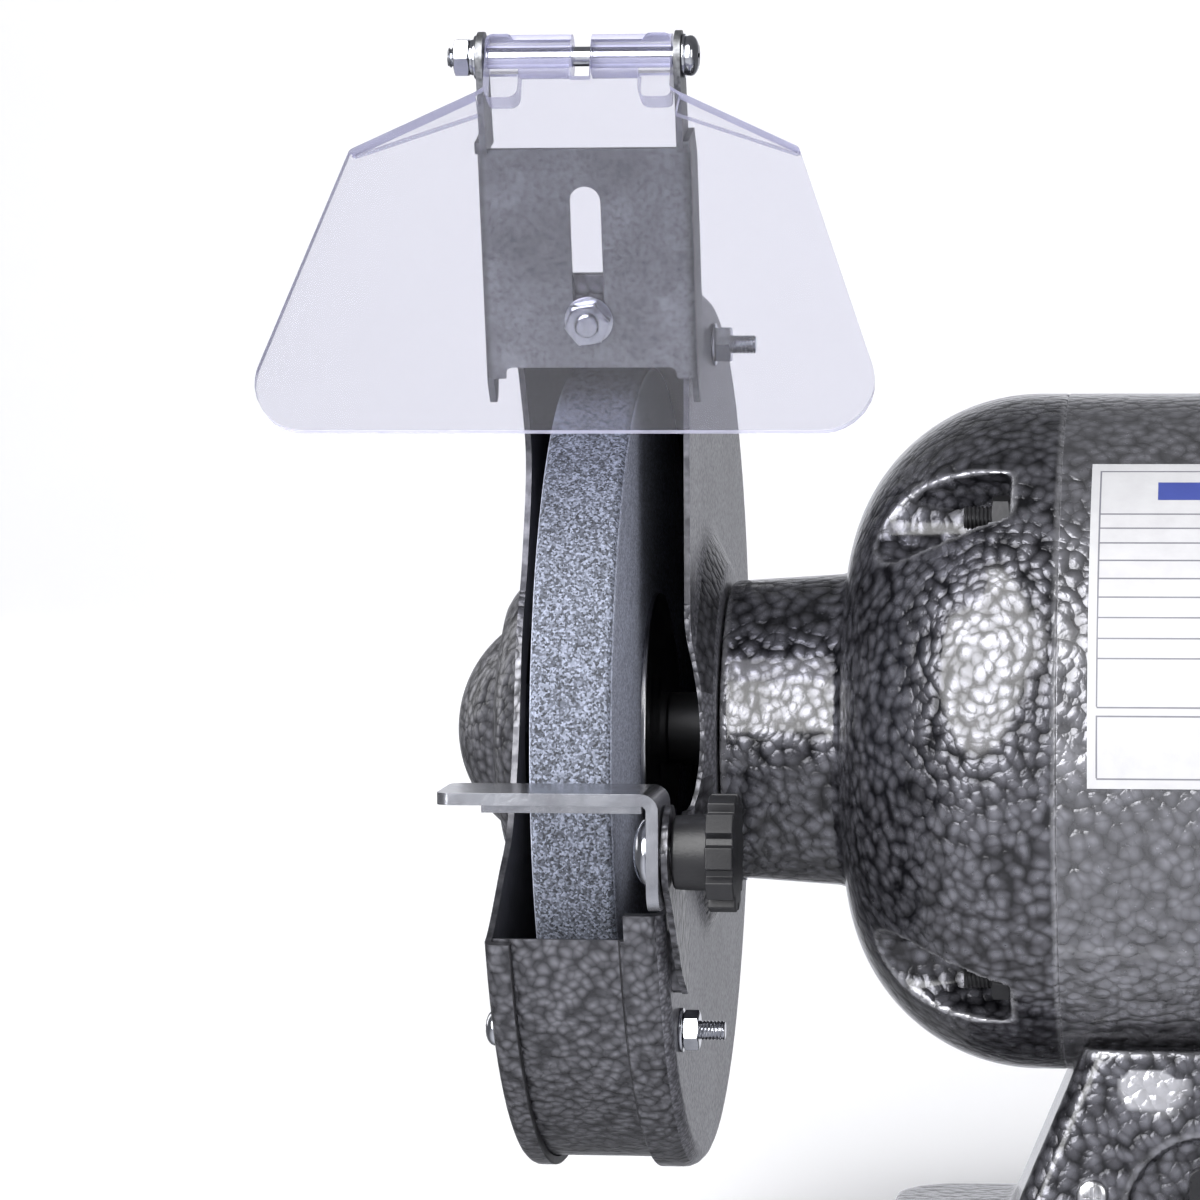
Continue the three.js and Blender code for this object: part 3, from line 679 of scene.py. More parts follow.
def piece(obj, name, body, replaced, materials, rule=None, angle=35):
    """Carries a shape into the frame as one named piece."""
    paint_faces(obj, rule, materials)
    moved(obj, TO_FRAME)
    finish_mesh(obj, name, angle)
    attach(obj, body)
    if replaced:
        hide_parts(*replaced)


def pair(obj, name, body, node, materials, rule=None, angle=35):
    """The left shape and its mirror image on the right.

    The CAD node is named without its side, and so are bodies such as rest, of which each side has one.
    """
    paint_faces(obj, rule, materials)
    other = bpy.data.objects.new("shape", obj.data.copy())
    bpy.context.collection.objects.link(other)
    moved(obj, TO_FRAME)
    moved(other, TO_FRAME @ Matrix.Scale(-1, 4, (1, 0, 0)))
    for side, item in (("left", obj), ("right", other)):
        finish_mesh(item, f"{side}_{name}", angle)
        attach(item, body if body in frame["bodies"] else f"{side}_{body}")
        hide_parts(f"{side}_{node}")


def carried(node, material):
    """A CAD node that stays, with a better material."""
    obj = frame["nodes"][node]
    obj.data.materials.clear()
    obj.data.materials.append(material)


def both(name):
    return (f"left_{name}", f"right_{name}")


# ---------------------------------------------------------------- motor
def stud_places():
    return [(front * STUD_Y, up * STUD_Z) for front in (-1, 1) for up in (-1, 1)]


def motor_housing():
    bore = MOTOR_R - MOTOR_WALL
    end = SEAM + 0.5
    wall = [(-end, bore), (-end, MOTOR_R, 0.15), (end, MOTOR_R, 0.15), (end, bore)]
    piece(lathe(rounded(wall), 160), "motor_housing", "base", ["stator_housing"], [PAINT])


def end_bell():
    """Cast bell with its neck, four bolt bosses and the pockets where the nuts sit."""
    centre = BELL_END - SHOULDER
    low = MOTOR_R - SHOULDER
    lip = rounded([(-SEAM, MOTOR_R - 1), (-SEAM, MOTOR_R, 0.6), (-SEAM - 2, MOTOR_R)])
    shoulder = arc(-centre, low, SHOULDER, 90, 172, 26)
    fillet = arc(-85.4, 34.1, 2.1, -25, -88, 5)
    neck = rounded([(-86, NECK_ROOT), (-NECK_END, NECK_TIP, 0.8), (-NECK_END, 0)])
    outside = lathe([(-SEAM, 0)] + lip[1:] + shoulder + fillet + neck[1:], 160)
    inner = SHOULDER - MOTOR_WALL
    mouth = -SEAM + 1
    dome = arc(-centre, low, inner, 90, 180, 10)
    cavity = lathe([(mouth, 0), (mouth, MOTOR_R - MOTOR_WALL)] + dome + [(-centre - inner, 0)], 64)
    for y, z in stud_places():
        cut(cavity, prism(circle(y, z, BOSS_R), -90, -30))
    inboard = -BEARING_SEAT_X
    seat = lathe([(-110, 0), (-110, BEARING_SEAT_R), (inboard, BEARING_SEAT_R), (inboard, 0)], 64)
    cut(outside, cavity, seat, prism(circle(0, 0, SHAFT_HOLE_R), inboard - 1, -50))
    for y, z in stud_places():
        pocket = prism(circle(y, z, POCKET_R, 40), -90, -POCKET_FLOOR)
        hole = prism(circle(y, z, 2.7, 16), -60, -30)
        cut(outside, pocket, hole)
    melt(outside, 0.85, 4, 0.42)
    pair(outside, "end_bell_shell", "base", "end_bell", [PAINT], angle=60)


def through_bolts():
    for node, y, z in (("front_upper", -STUD_Y, STUD_Z), ("front_lower", -STUD_Y, -STUD_Z),
                       ("rear_upper", STUD_Y, STUD_Z), ("rear_lower", STUD_Y, -STUD_Z)):
        nut_x = -POCKET_FLOOR - 3.7
        shape = gather(hex_nut(nut_x, -POCKET_FLOOR, 8, 2.3, y, z, 12),
                       thread(nut_x - 5.5, nut_x + 2, 2.4, 0.8, y, z),
                       rod(nut_x + 2, POCKET_FLOOR + 0.6, 2.35, y, z),
                       washer(POCKET_FLOOR, POCKET_FLOOR + 0.7, 2.4, 4.6, y, z),
                       pan_head(POCKET_FLOOR + 0.7, 1, 4.3, 2.7, y, z))
        piece(shape, f"{node}_motor_stud", "base", [f"through_bolt_{node}"], [DARK_STEEL])


def curved_patch(x0, x1, high, low, r0, r1, steps=24):
    """A sheet wrapped on the motor between two angles above the front horizon."""
    outline = arc(0, 0, r1, 180 - high, 180 - low, steps) + arc(0, 0, r0, 180 - low, 180 - high, steps)
    return prism(outline, x0, x1)


def rating_plate():
    """Blank sticker: ruled rows, an empty frame and a plain bar, with no lettering."""
    half, high, low = 33, 54, -4.5
    base_r = MOTOR_R + 0.08
    film = curved_patch(-half, half, high, low, base_r, base_r + 0.2)
    piece(film, "blank_label", "base", ["rating_plate"], [FILM])
    r0, r1 = base_r + 0.2, base_r + 0.22
    line = 0.32
    step = math.degrees(line / base_r)
    left, right = -half + 1.8, half - 1.8
    rows = [52.2, 42.5, 39.6, 36.7, 33.4, 30.1, 26.8, 23.3, 19.8, 16.5, 8.6, 7.2, -2.8]
    table_top, table_end, note_top, note_end = rows[0], rows[-3], rows[-2], rows[-1]
    strips = [curved_patch(left, right, a, a - step, r0, r1, 2) for a in rows]
    for x in (left, right):
        strips.append(curved_patch(x - line / 2, x + line / 2, table_top, table_end, r0, r1, 16))
        strips.append(curved_patch(x - line / 2, x + line / 2, note_top, note_end, r0, r1, 6))
    column = 8
    strips.append(curved_patch(column, column + line, rows[2], rows[9], r0, r1, 10))
    piece(gather(*strips), "blank_label_rules", "base", [], [INK])
    bar = curved_patch(-20, 20, 49.4, 45.4, r0, r1, 4)
    piece(bar, "blank_label_bar", "base", [], [BLUE_INK])


# ---------------------------------------------------------------- spindle
def grinding_wheels():
    x0, x1, radius = WHEEL_LOW.x, WHEEL_HIGH.x, WHEEL_HIGH.z
    outline = rounded([(x0, 6.7), (x0, radius, 1.6), (x1, radius, 1.6), (x1, 6.7)], 5)

    # side faces take the paler grit: painted light on the wheel's sides
    def side(centre, normal):
        return 1 if abs(normal.x) > 0.9 else 0
    pair(lathe(outline, 180), "wheel", "spindle", "grinding_wheel", [GRIT, GRIT_SIDE_LIGHTENED], side)


def wheel_flanges():
    for node, rim, out in (("inner_wheel_flange", WHEEL_HIGH.x, 1), ("outer_wheel_flange", WHEEL_LOW.x, -1)):
        back = rim + out * 3.2
        corners = [(rim, 28, 0.3), (rim, 20, 0.3), (rim + out, 19, 0.2), (rim + out, 6.7), (back, 6.7),
                   (back, 19.5, 0.8), (rim + out * 1.7, 25, 1.2), (rim + out * 1.3, 28, 0.5)]
        pair(lathe(rounded(corners), 128), f"{node}_disc", "spindle", node, [STEEL])


def spindle():
    tip, step, seat = 157, WHEEL_HIGH.x + 3.2, 94
    half = [(-tip, 6.35, 0.8), (step, 6.35), (step, 7.5, 0.4), (-seat, 7.5), (-seat, 9, 0.4)]
    mirror = [(-p[0], *p[1:]) for p in reversed(half)]
    shape = lathe(rounded([(-tip, 0)] + half + mirror + [(tip, 0)]), 64)
    piece(shape, "spindle_bar", "spindle", ["spindle_shaft"], [DARK_STEEL])
    nut_x = WHEEL_LOW.x - 3.2
    pair(hex_nut(nut_x - 9.5, nut_x, 19, 6.6), "spindle_lock_nut", "spindle", "spindle_nut", [ZINC])


# ---------------------------------------------------------------- guards
def guard_bolt_places():
    return [(-GUARD_BOLT_RING * math.cos(math.radians(a)), GUARD_BOLT_RING * math.sin(math.radians(a)))
            for a in GUARD_BOLT_ANGLES]


def bolt_holes(body):
    for y, z in guard_bolt_places():
        cut(body, prism(circle(y, z, 2.3, 16), -160, -100))


def wheel_guard():
    """Pressed pan and barrel strip around the wheel, open at the front."""
    t = SHEET
    edge = COVER_X + t + 0.3
    hub_hole = 14
    outer = [(HUB_X, hub_hole), (HUB_X, 33, 5), (PAN_X, 42, 9), (PAN_X, GUARD_R, 4),
             (PAN_X - 8.8, GUARD_R, 0.5), (PAN_X - 9.2, BARREL_R, 0.4), (edge, BARREL_R, 0.3)]
    inner = [(edge, BARREL_R - t, 0.3), (PAN_X - t, BARREL_R - t, 2.8), (PAN_X - t, 42.6, 8),
             (HUB_X - t, 33.6, 4), (HUB_X - t, hub_hole)]
    shell = lathe(rounded(outer + inner, 5), 200)
    strip_cut = [(-60, -34.3), (-120, -34.3), (-120, 110), (-38.6, 110), (-38.6, 60), (-60, 60)]
    cut(shell, prism(strip_cut, COVER_X, PAN_X - 8))
    front = smooth_path([(-36.8, 60), (-36.8, -5), (-43, -14), (-54, -22), (-68, -27), (-82, -29),
                         (-95, -29.4)])
    cut(shell, prism([(-36.8, 110)] + front + [(-120, -29.4), (-120, 110)], PAN_X - 8, -100))
    tab = prism(rounded([(-10, -8.4), (10, -8.4), (10, 8.8, 3), (-10, 8.8, 3)]), 1.6, 3.6, "y")
    cut(tab, prism(circle(0, 0, M5_HOLE_R), 0, 6, "y"))
    join(shell, moved(tab, Matrix.Translation(CLAMP) @ Matrix.Rotation(LEAN, 4, "X")))
    y, z = REST_BOLT
    lug_x = REST_HIGH.x + 0.3
    ear = prism([(-66, -34)] + arc(y, z, 9, 60, 250, 24) + [(-80, -41), (-70, -46)], lug_x, lug_x + t)
    joggle = prism([(-66, -34), (-75, -34), (-72, -45), (-68, -46)], PAN_X - 0.6, lug_x + t)
    join(shell, ear, joggle)
    cut(shell, prism(circle(y, z, M5_HOLE_R), -120, -100))
    bolt_holes(shell)

    def side(centre, normal):
        """Hammered outside, black inside, bare cut edges and a finer texture on the flat of the pan."""
        radius = math.hypot(centre.y, centre.z)
        radial = (normal.y * centre.y + normal.z * centre.z) / radius
        if centre.x > PAN_X + 1.5 and radius > 36:
            return 0
        if normal.x > 0.7:
            return 3
        if abs(normal.x) < 0.3 and abs(radial) < 0.75 and radius < GUARD_R + 0.1:
            return 2
        barrel = radial < -0.5 and centre.x < PAN_X - 1
        pan = normal.x < -0.3 and radius < GUARD_R - 1
        return 1 if barrel or pan else 0
    pair(shell, "guard_shell", "base", "wheel_guard",
         [SHEET_PAINT, BLACK, EDGE, FINE_SHEET_PAINT], side, 30)


def cover_profile(offset):
    """Face, flared step and domed nose of the outer cover, from the face inwards to the axis."""
    nose_x, nose_r = -165.3, 25.5
    centre, radius = nose_x + nose_r, nose_r - offset
    edge = 180 - math.degrees(math.asin((20.1 - offset / 2) / radius))
    step = [(COVER_X, 32), (-152.3, 28.7), (-154.1, 26)]
    points = [(x + offset, r - offset) for x, r in step]
    nose = [(x, r if r > 1e-6 else 0) for x, r in arc(centre, 0, radius, edge, 180, 16)]
    return smooth_path(points, 3) + nose


def guard_cover():
    """Pressed disc with a rolled rim, a flared step and a domed nose, cut away at the front."""
    rim_end = COVER_X + 5.2
    rim_in = BARREL_R + 0.3
    rim = [(COVER_X, GUARD_R, 2.2), (rim_end, GUARD_R, 0.4), (rim_end, rim_in), (COVER_X + SHEET, rim_in, 1)]
    corners = cover_profile(0)[::-1] + rim + cover_profile(SHEET)
    shell = lathe(rounded(corners, 5), 200)
    edge = smooth_path([(-92, -36.5), (-78, -34), (-61, -24), (-49, -16), (-40, 1), (-34.5, 21), (-25.5, 36),
                        (-19, 56), (-27, 71), (-35, 81), (-38, 95)], 8)
    cut(shell, prism(edge + [(-120, 95), (-120, -36.5)], -170, -140))
    bolt_holes(shell)

    def side(centre, normal):
        """Hammered outside, black inside and bare cut edges."""
        radius = math.hypot(centre.y, centre.z)
        radial = (normal.y * centre.y + normal.z * centre.z) / max(radius, 0.1)
        in_face = radius < GUARD_R - 2.5 and centre.x > COVER_X - 0.1
        if abs(normal.x) < 0.2 and abs(radial) < (0.97 if in_face else 0.7):
            return 2
        return 1 if normal.x > 0.3 or radial < -0.5 else 0
    pair(shell, "guard_side_cover", "base", "guard_cover", [SHEET_PAINT, BLACK, EDGE], side, 30)


def guard_bolts():
    flip = Matrix.Scale(-1, 4, (1, 0, 0))
    nut_x = PAN_X + 0.8
    for i, (y, z) in enumerate(guard_bolt_places()):
        shape = gather(pan_head(COVER_X - 0.05, -1, 3.6, 3.1, y, z),
                       rod(COVER_X - 0.5, nut_x + 3, 1.95, y, z),
                       washer(PAN_X + 0.05, nut_x, 2, 4.4, y, z),
                       hex_nut(nut_x, nut_x + 3.2, 7, 1.9, y, z, 17 * i),
                       moved(thread(-nut_x - 8.2, -nut_x - 2.5, 2, 0.7, y, z), flip))
        pair(shape, f"guard_screw_{i + 1}", "base", f"guard_bolt_{i + 1}", [ZINC])


# ---------------------------------------------------------------- shield and its bracket
BRACKET_FRAME = Matrix.Translation(CLAMP) @ Matrix.Rotation(LEAN, 4, "X")
HINGE_LINE = BRACKET_FRAME @ Vector((0, HINGE_BACK, HINGE_UP))
SHIELD_FRAME = Matrix.Translation(HINGE_LINE) @ Matrix.Rotation(-SHIELD_LEAN, 4, "X")
SWAP_XY = Matrix(((0, 1, 0, 0), (1, 0, 0, 0), (0, 0, 1, 0), (0, 0, 0, 1)))
SWAP_XZ = Matrix(((0, 0, 1, 0), (0, 1, 0, 0), (1, 0, 0, 0), (0, 0, 0, 1)))
BRACKET_HALF = 21.2
BRACKET_SHEET = 1.3
ARM_IN = BRACKET_HALF - 2.4


def bracket():
    """Slotted channel in galvanised sheet, with two joggled arms up to the hinge."""
    half, t, depth, top = BRACKET_HALF, BRACKET_SHEET, 13, 34.8
    section = [(-half, depth), (-half, 0, 1.9), (half, 0, 1.9), (half, depth), (half - t, depth),
               (half - t, t, 0.7), (-half + t, t, 0.7), (-half + t, depth)]
    channel = prism(rounded(section), -20, top + 2, "z")
    flank = [(-1, -12.1), (t, -12.1), (4.6, -18.6, 1), (7.4, -17.8, 1), (depth, -5, 2), (depth, top - 4, 2),
             (9, top + 2), (t, top + 2), (t, top), (-1, top)]
    boolean(channel, prism(rounded(flank), -30, 30), "INTERSECT")
    notch = rounded([(-17.2, -30), (17.2, -30), (17.2, -9.8, 1.5), (-17.2, -9.8, 1.5)])
    cut(channel, prism(notch, -5, t + 0.2, "y"))
    slot = arc(0, 24.1, 3.1, 0, 180, 14) + arc(0, -0.4, 3.1, 180, 360, 14)
    cut(channel, prism(slot, -2, 4, "y"))
    arm = [(-2.5, top + 0.5)] + arc(HINGE_BACK, HINGE_UP, 5, 180, 0, 16) + [(8, top + 0.5)]
    step = [(-1.5, top - 0.5), (8.5, top - 0.5), (8, top + 1.9), (-2, top + 1.9)]
    for side in (1, -1):
        join(channel, prism(arm, *sorted((side * ARM_IN, side * (ARM_IN + t)))),
             prism(step, *sorted((side * ARM_IN, side * half))))
    cut(channel, prism(circle(HINGE_BACK, HINGE_UP, 2.3), -30, 30))
    soften(channel, 0.22, 2, 40)
    moved(channel, BRACKET_FRAME)
    pair(channel, "bracket_channel", "bracket", "shield_bracket", [GALVANISED])


def bracket_bolt():
    """Along the bracket's normal, nut to the front."""
    shape = gather(hex_nut(-4.2, -0.7, 8, 2.4, turn=8),
                   washer(-0.7, -0.05, 2.6, 4.9),
                   thread(-5.3, -3.4, 2.45, 0.8),
                   rod(-3.4, 4.4, 2.4),
                   pan_head(3.7, 1, 4.4, 2.6))
    moved(shape, BRACKET_FRAME @ SWAP_XY)
    pair(shape, "bracket_clamp_bolt", "base", "bracket_bolt", [ZINC])


def hinge_bolt():
    """Through both arms of the bracket, with the nut on the outboard side."""
    x, y, z = HINGE_LINE
    end = ARM_IN + BRACKET_SHEET
    shape = gather(thread(x - end - 6, x - end - 3, 2, 0.7, y, z),
                   rod(x - end - 3, x + end + 1, 1.95, y, z),
                   washer(x - end - 0.7, x - end - 0.05, 2.1, 4.3, y, z),
                   washer(x - end - 1.5, x - end - 0.75, 2.1, 3.5, y, z),
                   hex_nut(x - end - 4.6, x - end - 1.5, 7, 1.9, y, z, 5),
                   washer(x + end + 0.05, x + end + 0.75, 2.1, 4.3, y, z),
                   pan_head(x + end + 0.75, 1, 4, 2.7, y, z))
    pair(shape, "shield_hinge_bolt", "bracket", "hinge_bolt", [ZINC])


def eye_shield():
    """Clear pane with turned-back shoulders, split hinge barrel and end lugs."""
    barrel_r, pin_r = 4.35, 2.3
    front, t = -4.5, 2
    half = [(18, -1.5), (18, -8), (20, -9.3), (43.9, -21.1, 1.5), (63.8, -79, 10)]
    outline = [(x, z, *r) for x, z, *r in half] + [(-x, z, *r) for x, z, *r in reversed(half)]
    pane = prism(rounded(outline, 10), front, front + t, "y")
    for side in (-1, 1):
        lip = [(20, -9.3), (43.9, -21.1), (43.2, -21.4), (19.4, -12.9)]
        join(pane, prism([(side * x, z) for x, z in lip], front + 0.5, front + 4.2, "y"))
        lug = [(11.8, -9.5, 2), (18.3, -9.5, 1.2), (18.3, 3.05, 1.5), (13.6, 3.05, 1), (12.2, 1), (11.8, -2)]
        join(pane, prism(rounded([(side * x, *rest) for x, *rest in lug]), front, 3.4, "y"))
    join(pane, prism(circle(0, 0, barrel_r, 40), -18.2, 18.2))
    split = box((-1.5, -10, -6), (2.5, 10, 10))
    cut(pane, prism(circle(0, 0, pin_r, 24), -30, 30), split)
    soften(pane, 0.25, 2, 40)

    moved(pane, SHIELD_FRAME)

    def side(centre, normal):
        flat = abs((SHIELD_FRAME.inverted().to_3x3() @ normal).y) > 0.9
        return 0 if flat else 1
    pair(pane, "clear_shield", "shield", "eye_shield", [CLEAR, CLEAR_EDGE], side)


# ---------------------------------------------------------------- tool rest
def tool_rest():
    """Folded plate: work surface on top, slotted leg down the inboard side."""
    x0, x1, t, top = REST_LOW.x, REST_HIGH.x, 2.3, REST_HIGH.z
    bottom = REST_LOW.z
    y0, y1 = REST_LOW.y, REST_HIGH.y
    fold = [(x0, top), (x1, top, 3.2), (x1, bottom), (x1 - t, bottom), (x1 - t, top - t, 1), (x0, top - t)]
    plate = prism(rounded(fold, 6), y0, y1, "y")
    side = [(y0, top + 1), (y0, bottom, 5), (y1, bottom, 5), (y1, top + 1)]
    boolean(plate, prism(rounded(side, 8), x0 - 1, x1 + 1), "INTERSECT")
    plan = [(x0, y0, 2.5), (x1 + 1, y0), (x1 + 1, y1), (x0, y1, 2.5)]
    boolean(plate, prism(rounded(plan), bottom - 1, top + 1, "z"), "INTERSECT")
    join(plate, box((x0 + 6, y1 - t, top - 5.5), (x1 - t - 3, y1, top - 1)))
    y, z = REST_BOLT
    slot = arc(y + 4.5, z, 2.9, -90, 90, 12) + arc(y - 5, z, 2.9, 90, 270, 12)
    cut(plate, prism(slot, x1 - t - 1, x1 + 1))
    soften(plate, 0.35, 3, 40)
    pair(plate, "rest_plate", "rest", "tool_rest", [PLATED])


def carriage_bolt():
    """The square neck stays inside the rest's slot, even at its round ends."""
    y, z = REST_BOLT
    neck = 1.95
    seat = REST_HIGH.x - 2.6
    rise, head_r = 2.8, 6.4
    angles = [math.radians(9 * k) for k in range(10)]
    curve = [(seat - 0.5 - rise * math.sin(a), head_r * math.cos(a)) for a in angles]
    head = lathe([(seat, 0), (seat, 6.2)] + curve + [(seat - 0.5 - rise, 0)], 64, y, z)
    square = prism(rectangle(y - neck, z - neck, y + neck, z + neck), seat, seat + 2.4)
    shape = gather(head, square, rod(seat + 2.4, -101.2, 2.4, y, z))
    pair(shape, "carriage_bolt", "rest_clamp", "rest_clamp_bolt", [ZINC])


def star_knob():
    """Moulded hub and ten-lobed star with a slightly domed end."""
    y, z = REST_BOLT
    root, star, x0, x1 = 9.6, 11.25, KNOB_LOW.x + 6.8, KNOB_HIGH.x
    lobes = 10
    outline = []
    for i in range(lobes):
        for shift, radius in ((-14, root), (-10.5, star), (10.5, star), (14, root)):
            angle = math.radians(i * 360 / lobes + shift)
            outline.append((y + radius * math.cos(angle), z + radius * math.sin(angle), 0.25))
    body = prism(rounded(outline, 2), x0, x1 - 0.7)
    soften(body, 0.35, 3, 50)
    hub = lathe(rounded([(KNOB_LOW.x, 0), (KNOB_LOW.x, 7, 0.6), (x0 + 0.6, 7.35), (x0 + 0.6, 0)]), 64, y, z)
    crown, tip = 60, x1 - 0.6
    dome = [(x1 - 1.5, 0), (x1 - 1.5, 9)] + arc(tip - crown, 0, crown, 8, 0, 6)[:-1] + [(tip, 0)]
    join(body, hub, lathe(dome, 64, y, z))
    cut(body, prism(circle(y, z, 2.7, 24), KNOB_LOW.x - 1, -101))
    pair(body, "star_knob", "knob", "rest_knob", [KNOB_BLACK], angle=40)


# ---------------------------------------------------------------- base
def pedestal(inset, top, bottom, corner):
    """Block with rounded upright edges, which widens towards the foot."""
    taper, back = 0.42, 45
    bm = bmesh.new()
    rows = []
    for z in (top, bottom):
        half = 36.3 + taper * (-63.7 - z) - inset
        plan = rectangle(-half, FOOT_LOW.y + inset, half, back - inset, corner)
        rows.append([bm.verts.new((x, y, z)) for x, y in rounded(plan, 6)])
    return skin(bm, rows)


def foot_slab(inset, z0, z1):
    half, corner = FOOT_HIGH.x - inset, 14 - inset
    plan = rectangle(-half, FOOT_LOW.y + inset, half, FOOT_HIGH.y - inset, corner)
    return prism(rounded(plan, 10), z0, z1, "z")


def foot_post(side, radius):
    """Upright cylinder through one of the two bolt holes of the foot."""
    return prism(circle(side * FOOT_BOLT_X, FOOT_BOLT_Y, radius), -130, -90, "z")


def base_casting():
    """Hollow pedestal and foot, saddled to the motor, with the switch's recess and the bolt holes."""
    skirt, top, wall = FOOT_LOW.z, -101, 4
    body = join(pedestal(0, -60, skirt, 5.5), foot_slab(0, skirt, top))
    motor = MOTOR_R + 0.1
    room = cut(pedestal(wall, -64, skirt - 1, 3), prism(circle(0, 0, motor + wall, 96), -120, 120))
    hollow = foot_slab(wall, skirt - 1, top - wall)
    for side in (-1, 1):
        cut(hollow, foot_post(side, 9))
    cut(body, prism(circle(0, 0, motor, 128), -120, 120), room, hollow)
    front = FOOT_LOW.y
    wide, tall = 26, 17
    recess = rectangle(-wide, SWITCH_Z - tall, wide, SWITCH_Z + tall, 15.4)
    cut(body, prism(rounded(recess, 10), front - 8, front + 2, "y"))
    cut(body, box((-12.5, front - 10, SWITCH_Z - 9.8), (12.5, front + 12, SWITCH_Z + 9.8)))
    for side in (-1, 1):
        screw_hole = prism(circle(side * PANEL_SCREW_X, PANEL_SCREW_Z, 1.9), front - 8, front + 12, "y")
        cut(body, screw_hole, foot_post(side, 4.5))
    cut(body, prism(circle(GLAND_X, GLAND_Z, 6.3), 30, 60, "y"))
    melt(body, 0.9, 5, 0.6)
    piece(body, "base_shell", "base", ["base_casting"], [PAINT], angle=60)


def base_fittings():
    """Bottom plate, rubber feet and the gland at the back."""
    plate = foot_slab(1.5, FOOT_LOW.z - 1.2, FOOT_LOW.z)
    for side in (-1, 1):
        cut(plate, foot_post(side, 5.5))
    piece(soften(plate, 0.3, 2), "floor_plate", "base", ["bottom_plate"], [GALVANISED])
    for node in ("front_left", "front_right", "rear_left", "rear_right"):
        low, high = span(f"rubber_foot_{node}")
        at = (low + high) / 2
        corners = [(GROUND, 0), (GROUND, 7.8, 0.8), (high.z, 8.9, 0.4), (high.z, 0)]
        foot = moved(lathe(rounded(corners), 48), SWAP_XZ)
        cut(foot, prism(circle(0, 0, 2.6), GROUND - 1, GROUND + 2.5, "z"))
        moved(foot, Matrix.Translation((at.x, at.y, 0)))
        piece(foot, f"rubber_pad_{node}", "base", [f"rubber_foot_{node}"], [RUBBER])
    corners = [(37, 3.6), (37, 6), (45.3, 6), (45.3, 9, 0.6), (48, 9, 0.8), (52, 7, 1.2), (52, 3.6, 0.4)]
    gland = moved(lathe(rounded(corners), 64), Matrix.Translation((GLAND_X, 0, GLAND_Z)) @ SWAP_XY)
    piece(gland, "cord_gland", "base", ["cable_gland"], [SWITCH_BLACK])


def panel_screws():
    front = FOOT_LOW.y
    head = gather(pan_head(front - 0.1, -1, 3.1, 1.5), rod(front - 0.2, front + 6, 1.6))
    moved(head, Matrix.Translation((-PANEL_SCREW_X, 0, PANEL_SCREW_Z)) @ SWAP_XY)
    pair(head, "base_screw", "base", "panel_screw", [STEEL])


def switch():
    """Bezel and can in one moulding, and the rocker tipped in it."""
    face = FOOT_LOW.y + 2 - 0.3
    low, high = SWITCH_Z - 11, SWITCH_Z + 11
    bezel = prism(rounded(rectangle(-13.7, low, 13.7, high, 2)), face - 2.6, face, "y")
    can = box((-12.1, face - 1, low + 1.6), (12.1, -16, high - 1.6))
    join(bezel, can)
    cut(bezel, box((-10.1, -60, SWITCH_Z - 8.6), (10.1, -31, SWITCH_Z + 8.6)))
    soften(bezel, 0.4, 3)
    piece(bezel, "switch_housing", "base", ["switch_body"], [SWITCH_BLACK])
    tall = 7.6
    side = [(-5.2, tall, 0.5), (-3.4, 0, 8), (-5.2, -tall, 0.5), (2, 2 - tall), (4.5, 0), (2, tall - 2)]
    key = prism(rounded(side), -9.6, 9.6)
    soften(key, 0.35, 3, 40)
    moved(key, Matrix.Translation((0, -40, SWITCH_Z)) @ Matrix.Rotation(math.radians(-10), 4, "X"))
    piece(key, "rocker_key", "rocker", ["switch_rocker"], [SWITCH_BLACK])


# ---------------------------------------------------------------- stage
def softbox(name, shape, direction, distance, width, height, watts, aim):
    data = bpy.data.lights.new(name, "AREA")
    data.shape = shape
    data.size, data.size_y, data.energy = width, height, watts
    lamp = bpy.data.objects.new(name, data)
    bpy.context.collection.objects.link(lamp)
    towards = Vector(direction).normalized()
    lamp.location = aim + towards * distance
    lamp.rotation_euler = towards.to_track_quat("Z", "Y").to_euler()


def stage():
    """Pale sweep: a floor that curves up into a far wall, and doesn't show in reflections."""
    bm = bmesh.new()
    far, bend = 2.4, 1.2
    path = [(-1, 0)] + arc(far, bend, bend, -90, 0, 12) + [(far + bend, 4)]
    rows = [[bm.verts.new((x, y, z)) for x in (-5, 5)] for y, z in path]
    for a, b in zip(rows, rows[1:]):
        bm.faces.new((a[0], a[1], b[1], b[0]))
    floor = new_object(bm)
    floor.name = "floor"
    floor.data.shade_smooth()
    look = Look("pale_floor", (0.9, 0.9, 0.91), 0.8)
    look.color(look.ramp(look.noise(0.5), (0.3, (0.88, 0.88, 0.9)), (0.7, (0.9, 0.9, 0.915))))
    look.shader.inputs["Emission Color"].default_value = (1, 1, 1, 1)
    look.shader.inputs["Emission Strength"].default_value = 0.15
    floor.data.materials.append(look.material)
    floor.visible_glossy = False


def glow(tree, direction, start, full, dim, bright):
    """Strength of the surroundings: dim all round, bright about one direction."""
    place = add_node(tree, "TexCoord").outputs["Generated"]
    facing = add_node(tree, "VectorMath", {"operation": "DOT_PRODUCT"}, i0=place, i1=direction)
    return add_node(tree, "MapRange", None, Value=facing.outputs["Value"], From_Min=start, From_Max=full,
                    To_Min=dim, To_Max=bright).outputs[0]


def larger(tree, a, b):
    """The larger of two strengths."""
    return add_node(tree, "Math", {"operation": "MAXIMUM"}, i0=a, i1=b).outputs[0]


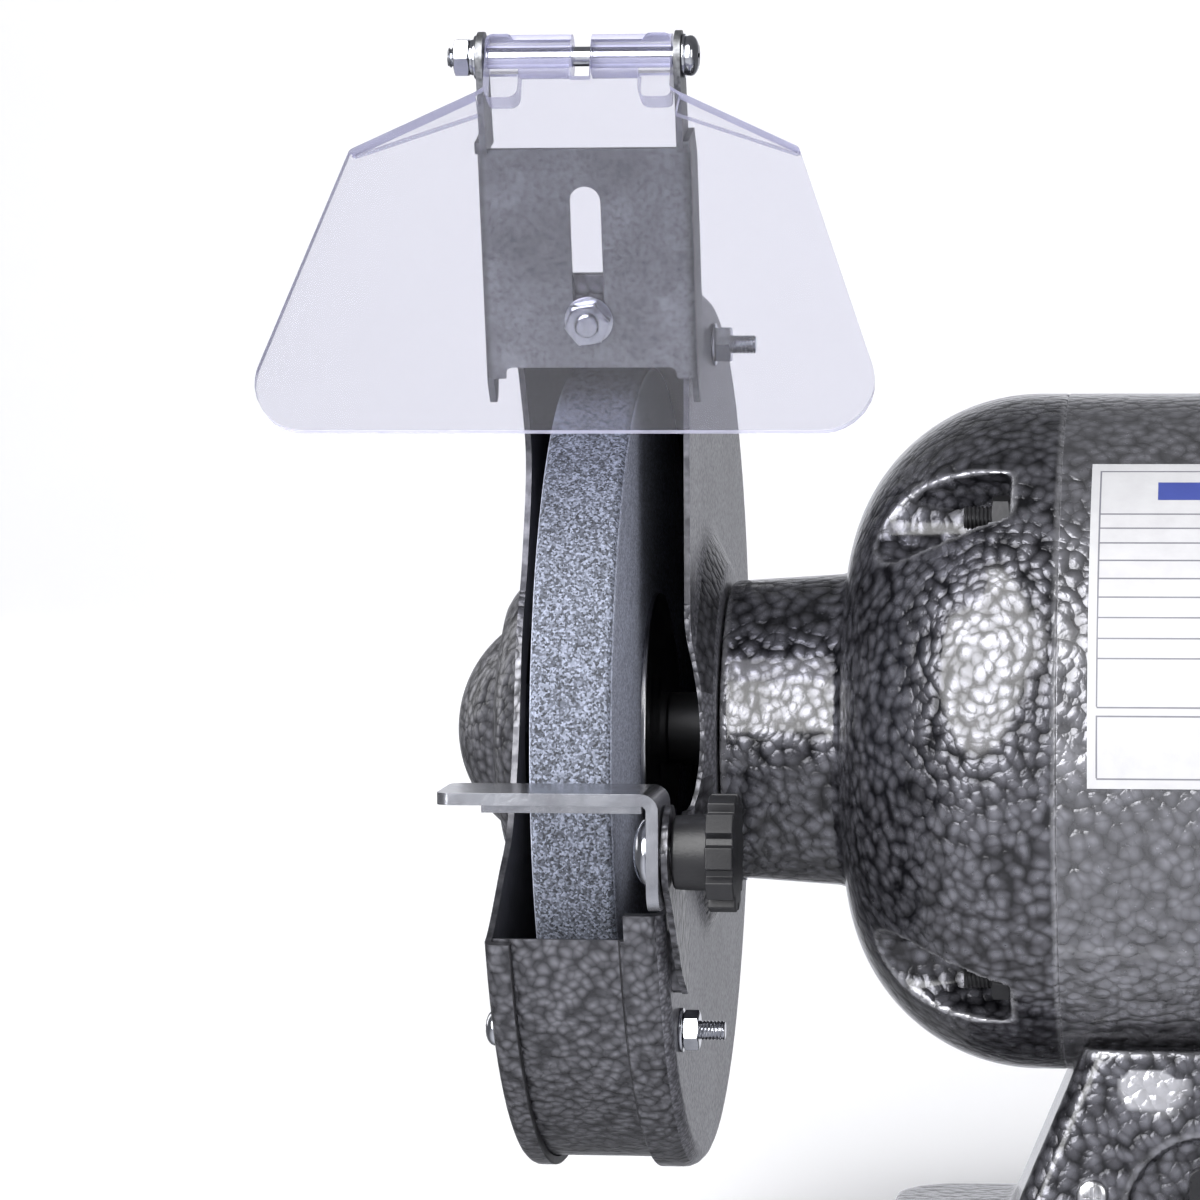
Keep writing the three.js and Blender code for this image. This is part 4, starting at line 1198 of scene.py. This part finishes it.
def lights():
    """Large soft key, fill and rim lights, a wash on the backdrop and a dim surround."""
    world = bpy.data.worlds.new("studio")
    bpy.context.scene.world = world
    world.use_nodes = True
    tree = world.node_tree
    sky = tree.nodes["Background"]
    sky.inputs["Color"].default_value = (0.93, 0.94, 1.0, 1)
    backdrop = glow(tree, (0, 1, 0), 0.9, 0.97, 0.2, 1.0)
    table = glow(tree, (0, -0.6, -0.8), 0.3, 0.9, 0.2, 1.1)
    seen = add_node(tree, "LightPath").outputs["Is Camera Ray"]
    strength = larger(tree, larger(tree, backdrop, table), seen)
    tree.links.new(strength, sky.inputs["Strength"])
    aim = Vector((-0.06, AXIS.y, AXIS.z))
    softbox("key", "ELLIPSE", (-0.44, -0.80, 0.46), 0.95, 0.85, 1.1, 24, aim)
    softbox("fill", "RECTANGLE", (0.75, -0.75, 0.25), 1.6, 0.8, 1.0, 7, aim)
    softbox("rim", "RECTANGLE", (-0.9, 0.55, 0.35), 1.4, 0.5, 1.0, 3, aim)
    softbox("wall_wash", "RECTANGLE", (0, -1.5, 1.0), 2.4, 3.0, 1.0, 43, Vector((0, 3.2, 0.4)))


def camera():
    """Stands 1.15 m in front of the middle of the machine and looks at its left half."""
    data = bpy.data.cameras.new("camera")
    data.lens = 168.6
    data.sensor_width = 36
    data.clip_end = 20
    cam = bpy.data.objects.new("camera", data)
    bpy.context.collection.objects.link(cam)
    cam.location = (0.0075, AXIS.y - 1.15, AXIS.z + 0.0956)
    target = Vector((-0.1359, AXIS.y, AXIS.z + 0.0265))
    turn = (target - cam.location).to_track_quat("-Z", "Y").to_matrix().to_4x4()
    roll = Matrix.Rotation(math.radians(-0.24), 4, "Z")
    cam.rotation_euler = (turn @ roll).to_euler()
    bpy.context.scene.camera = cam
    bpy.context.scene.view_settings.view_transform = "Standard"


motor_housing()
end_bell()
through_bolts()
rating_plate()
grinding_wheels()
wheel_flanges()
spindle()
wheel_guard()
guard_cover()
guard_bolts()
bracket()
bracket_bolt()
hinge_bolt()
eye_shield()
tool_rest()
carriage_bolt()
star_knob()
base_casting()
base_fittings()
panel_screws()
switch()
for node in ("stator_core", "rotor"):
    carried(node, LAMINATION)
for node in both("winding"):
    carried(node, COPPER)
for node in both("bearing"):
    carried(node, STEEL)
carried("capacitor", CASE)
stage()
lights()
camera()
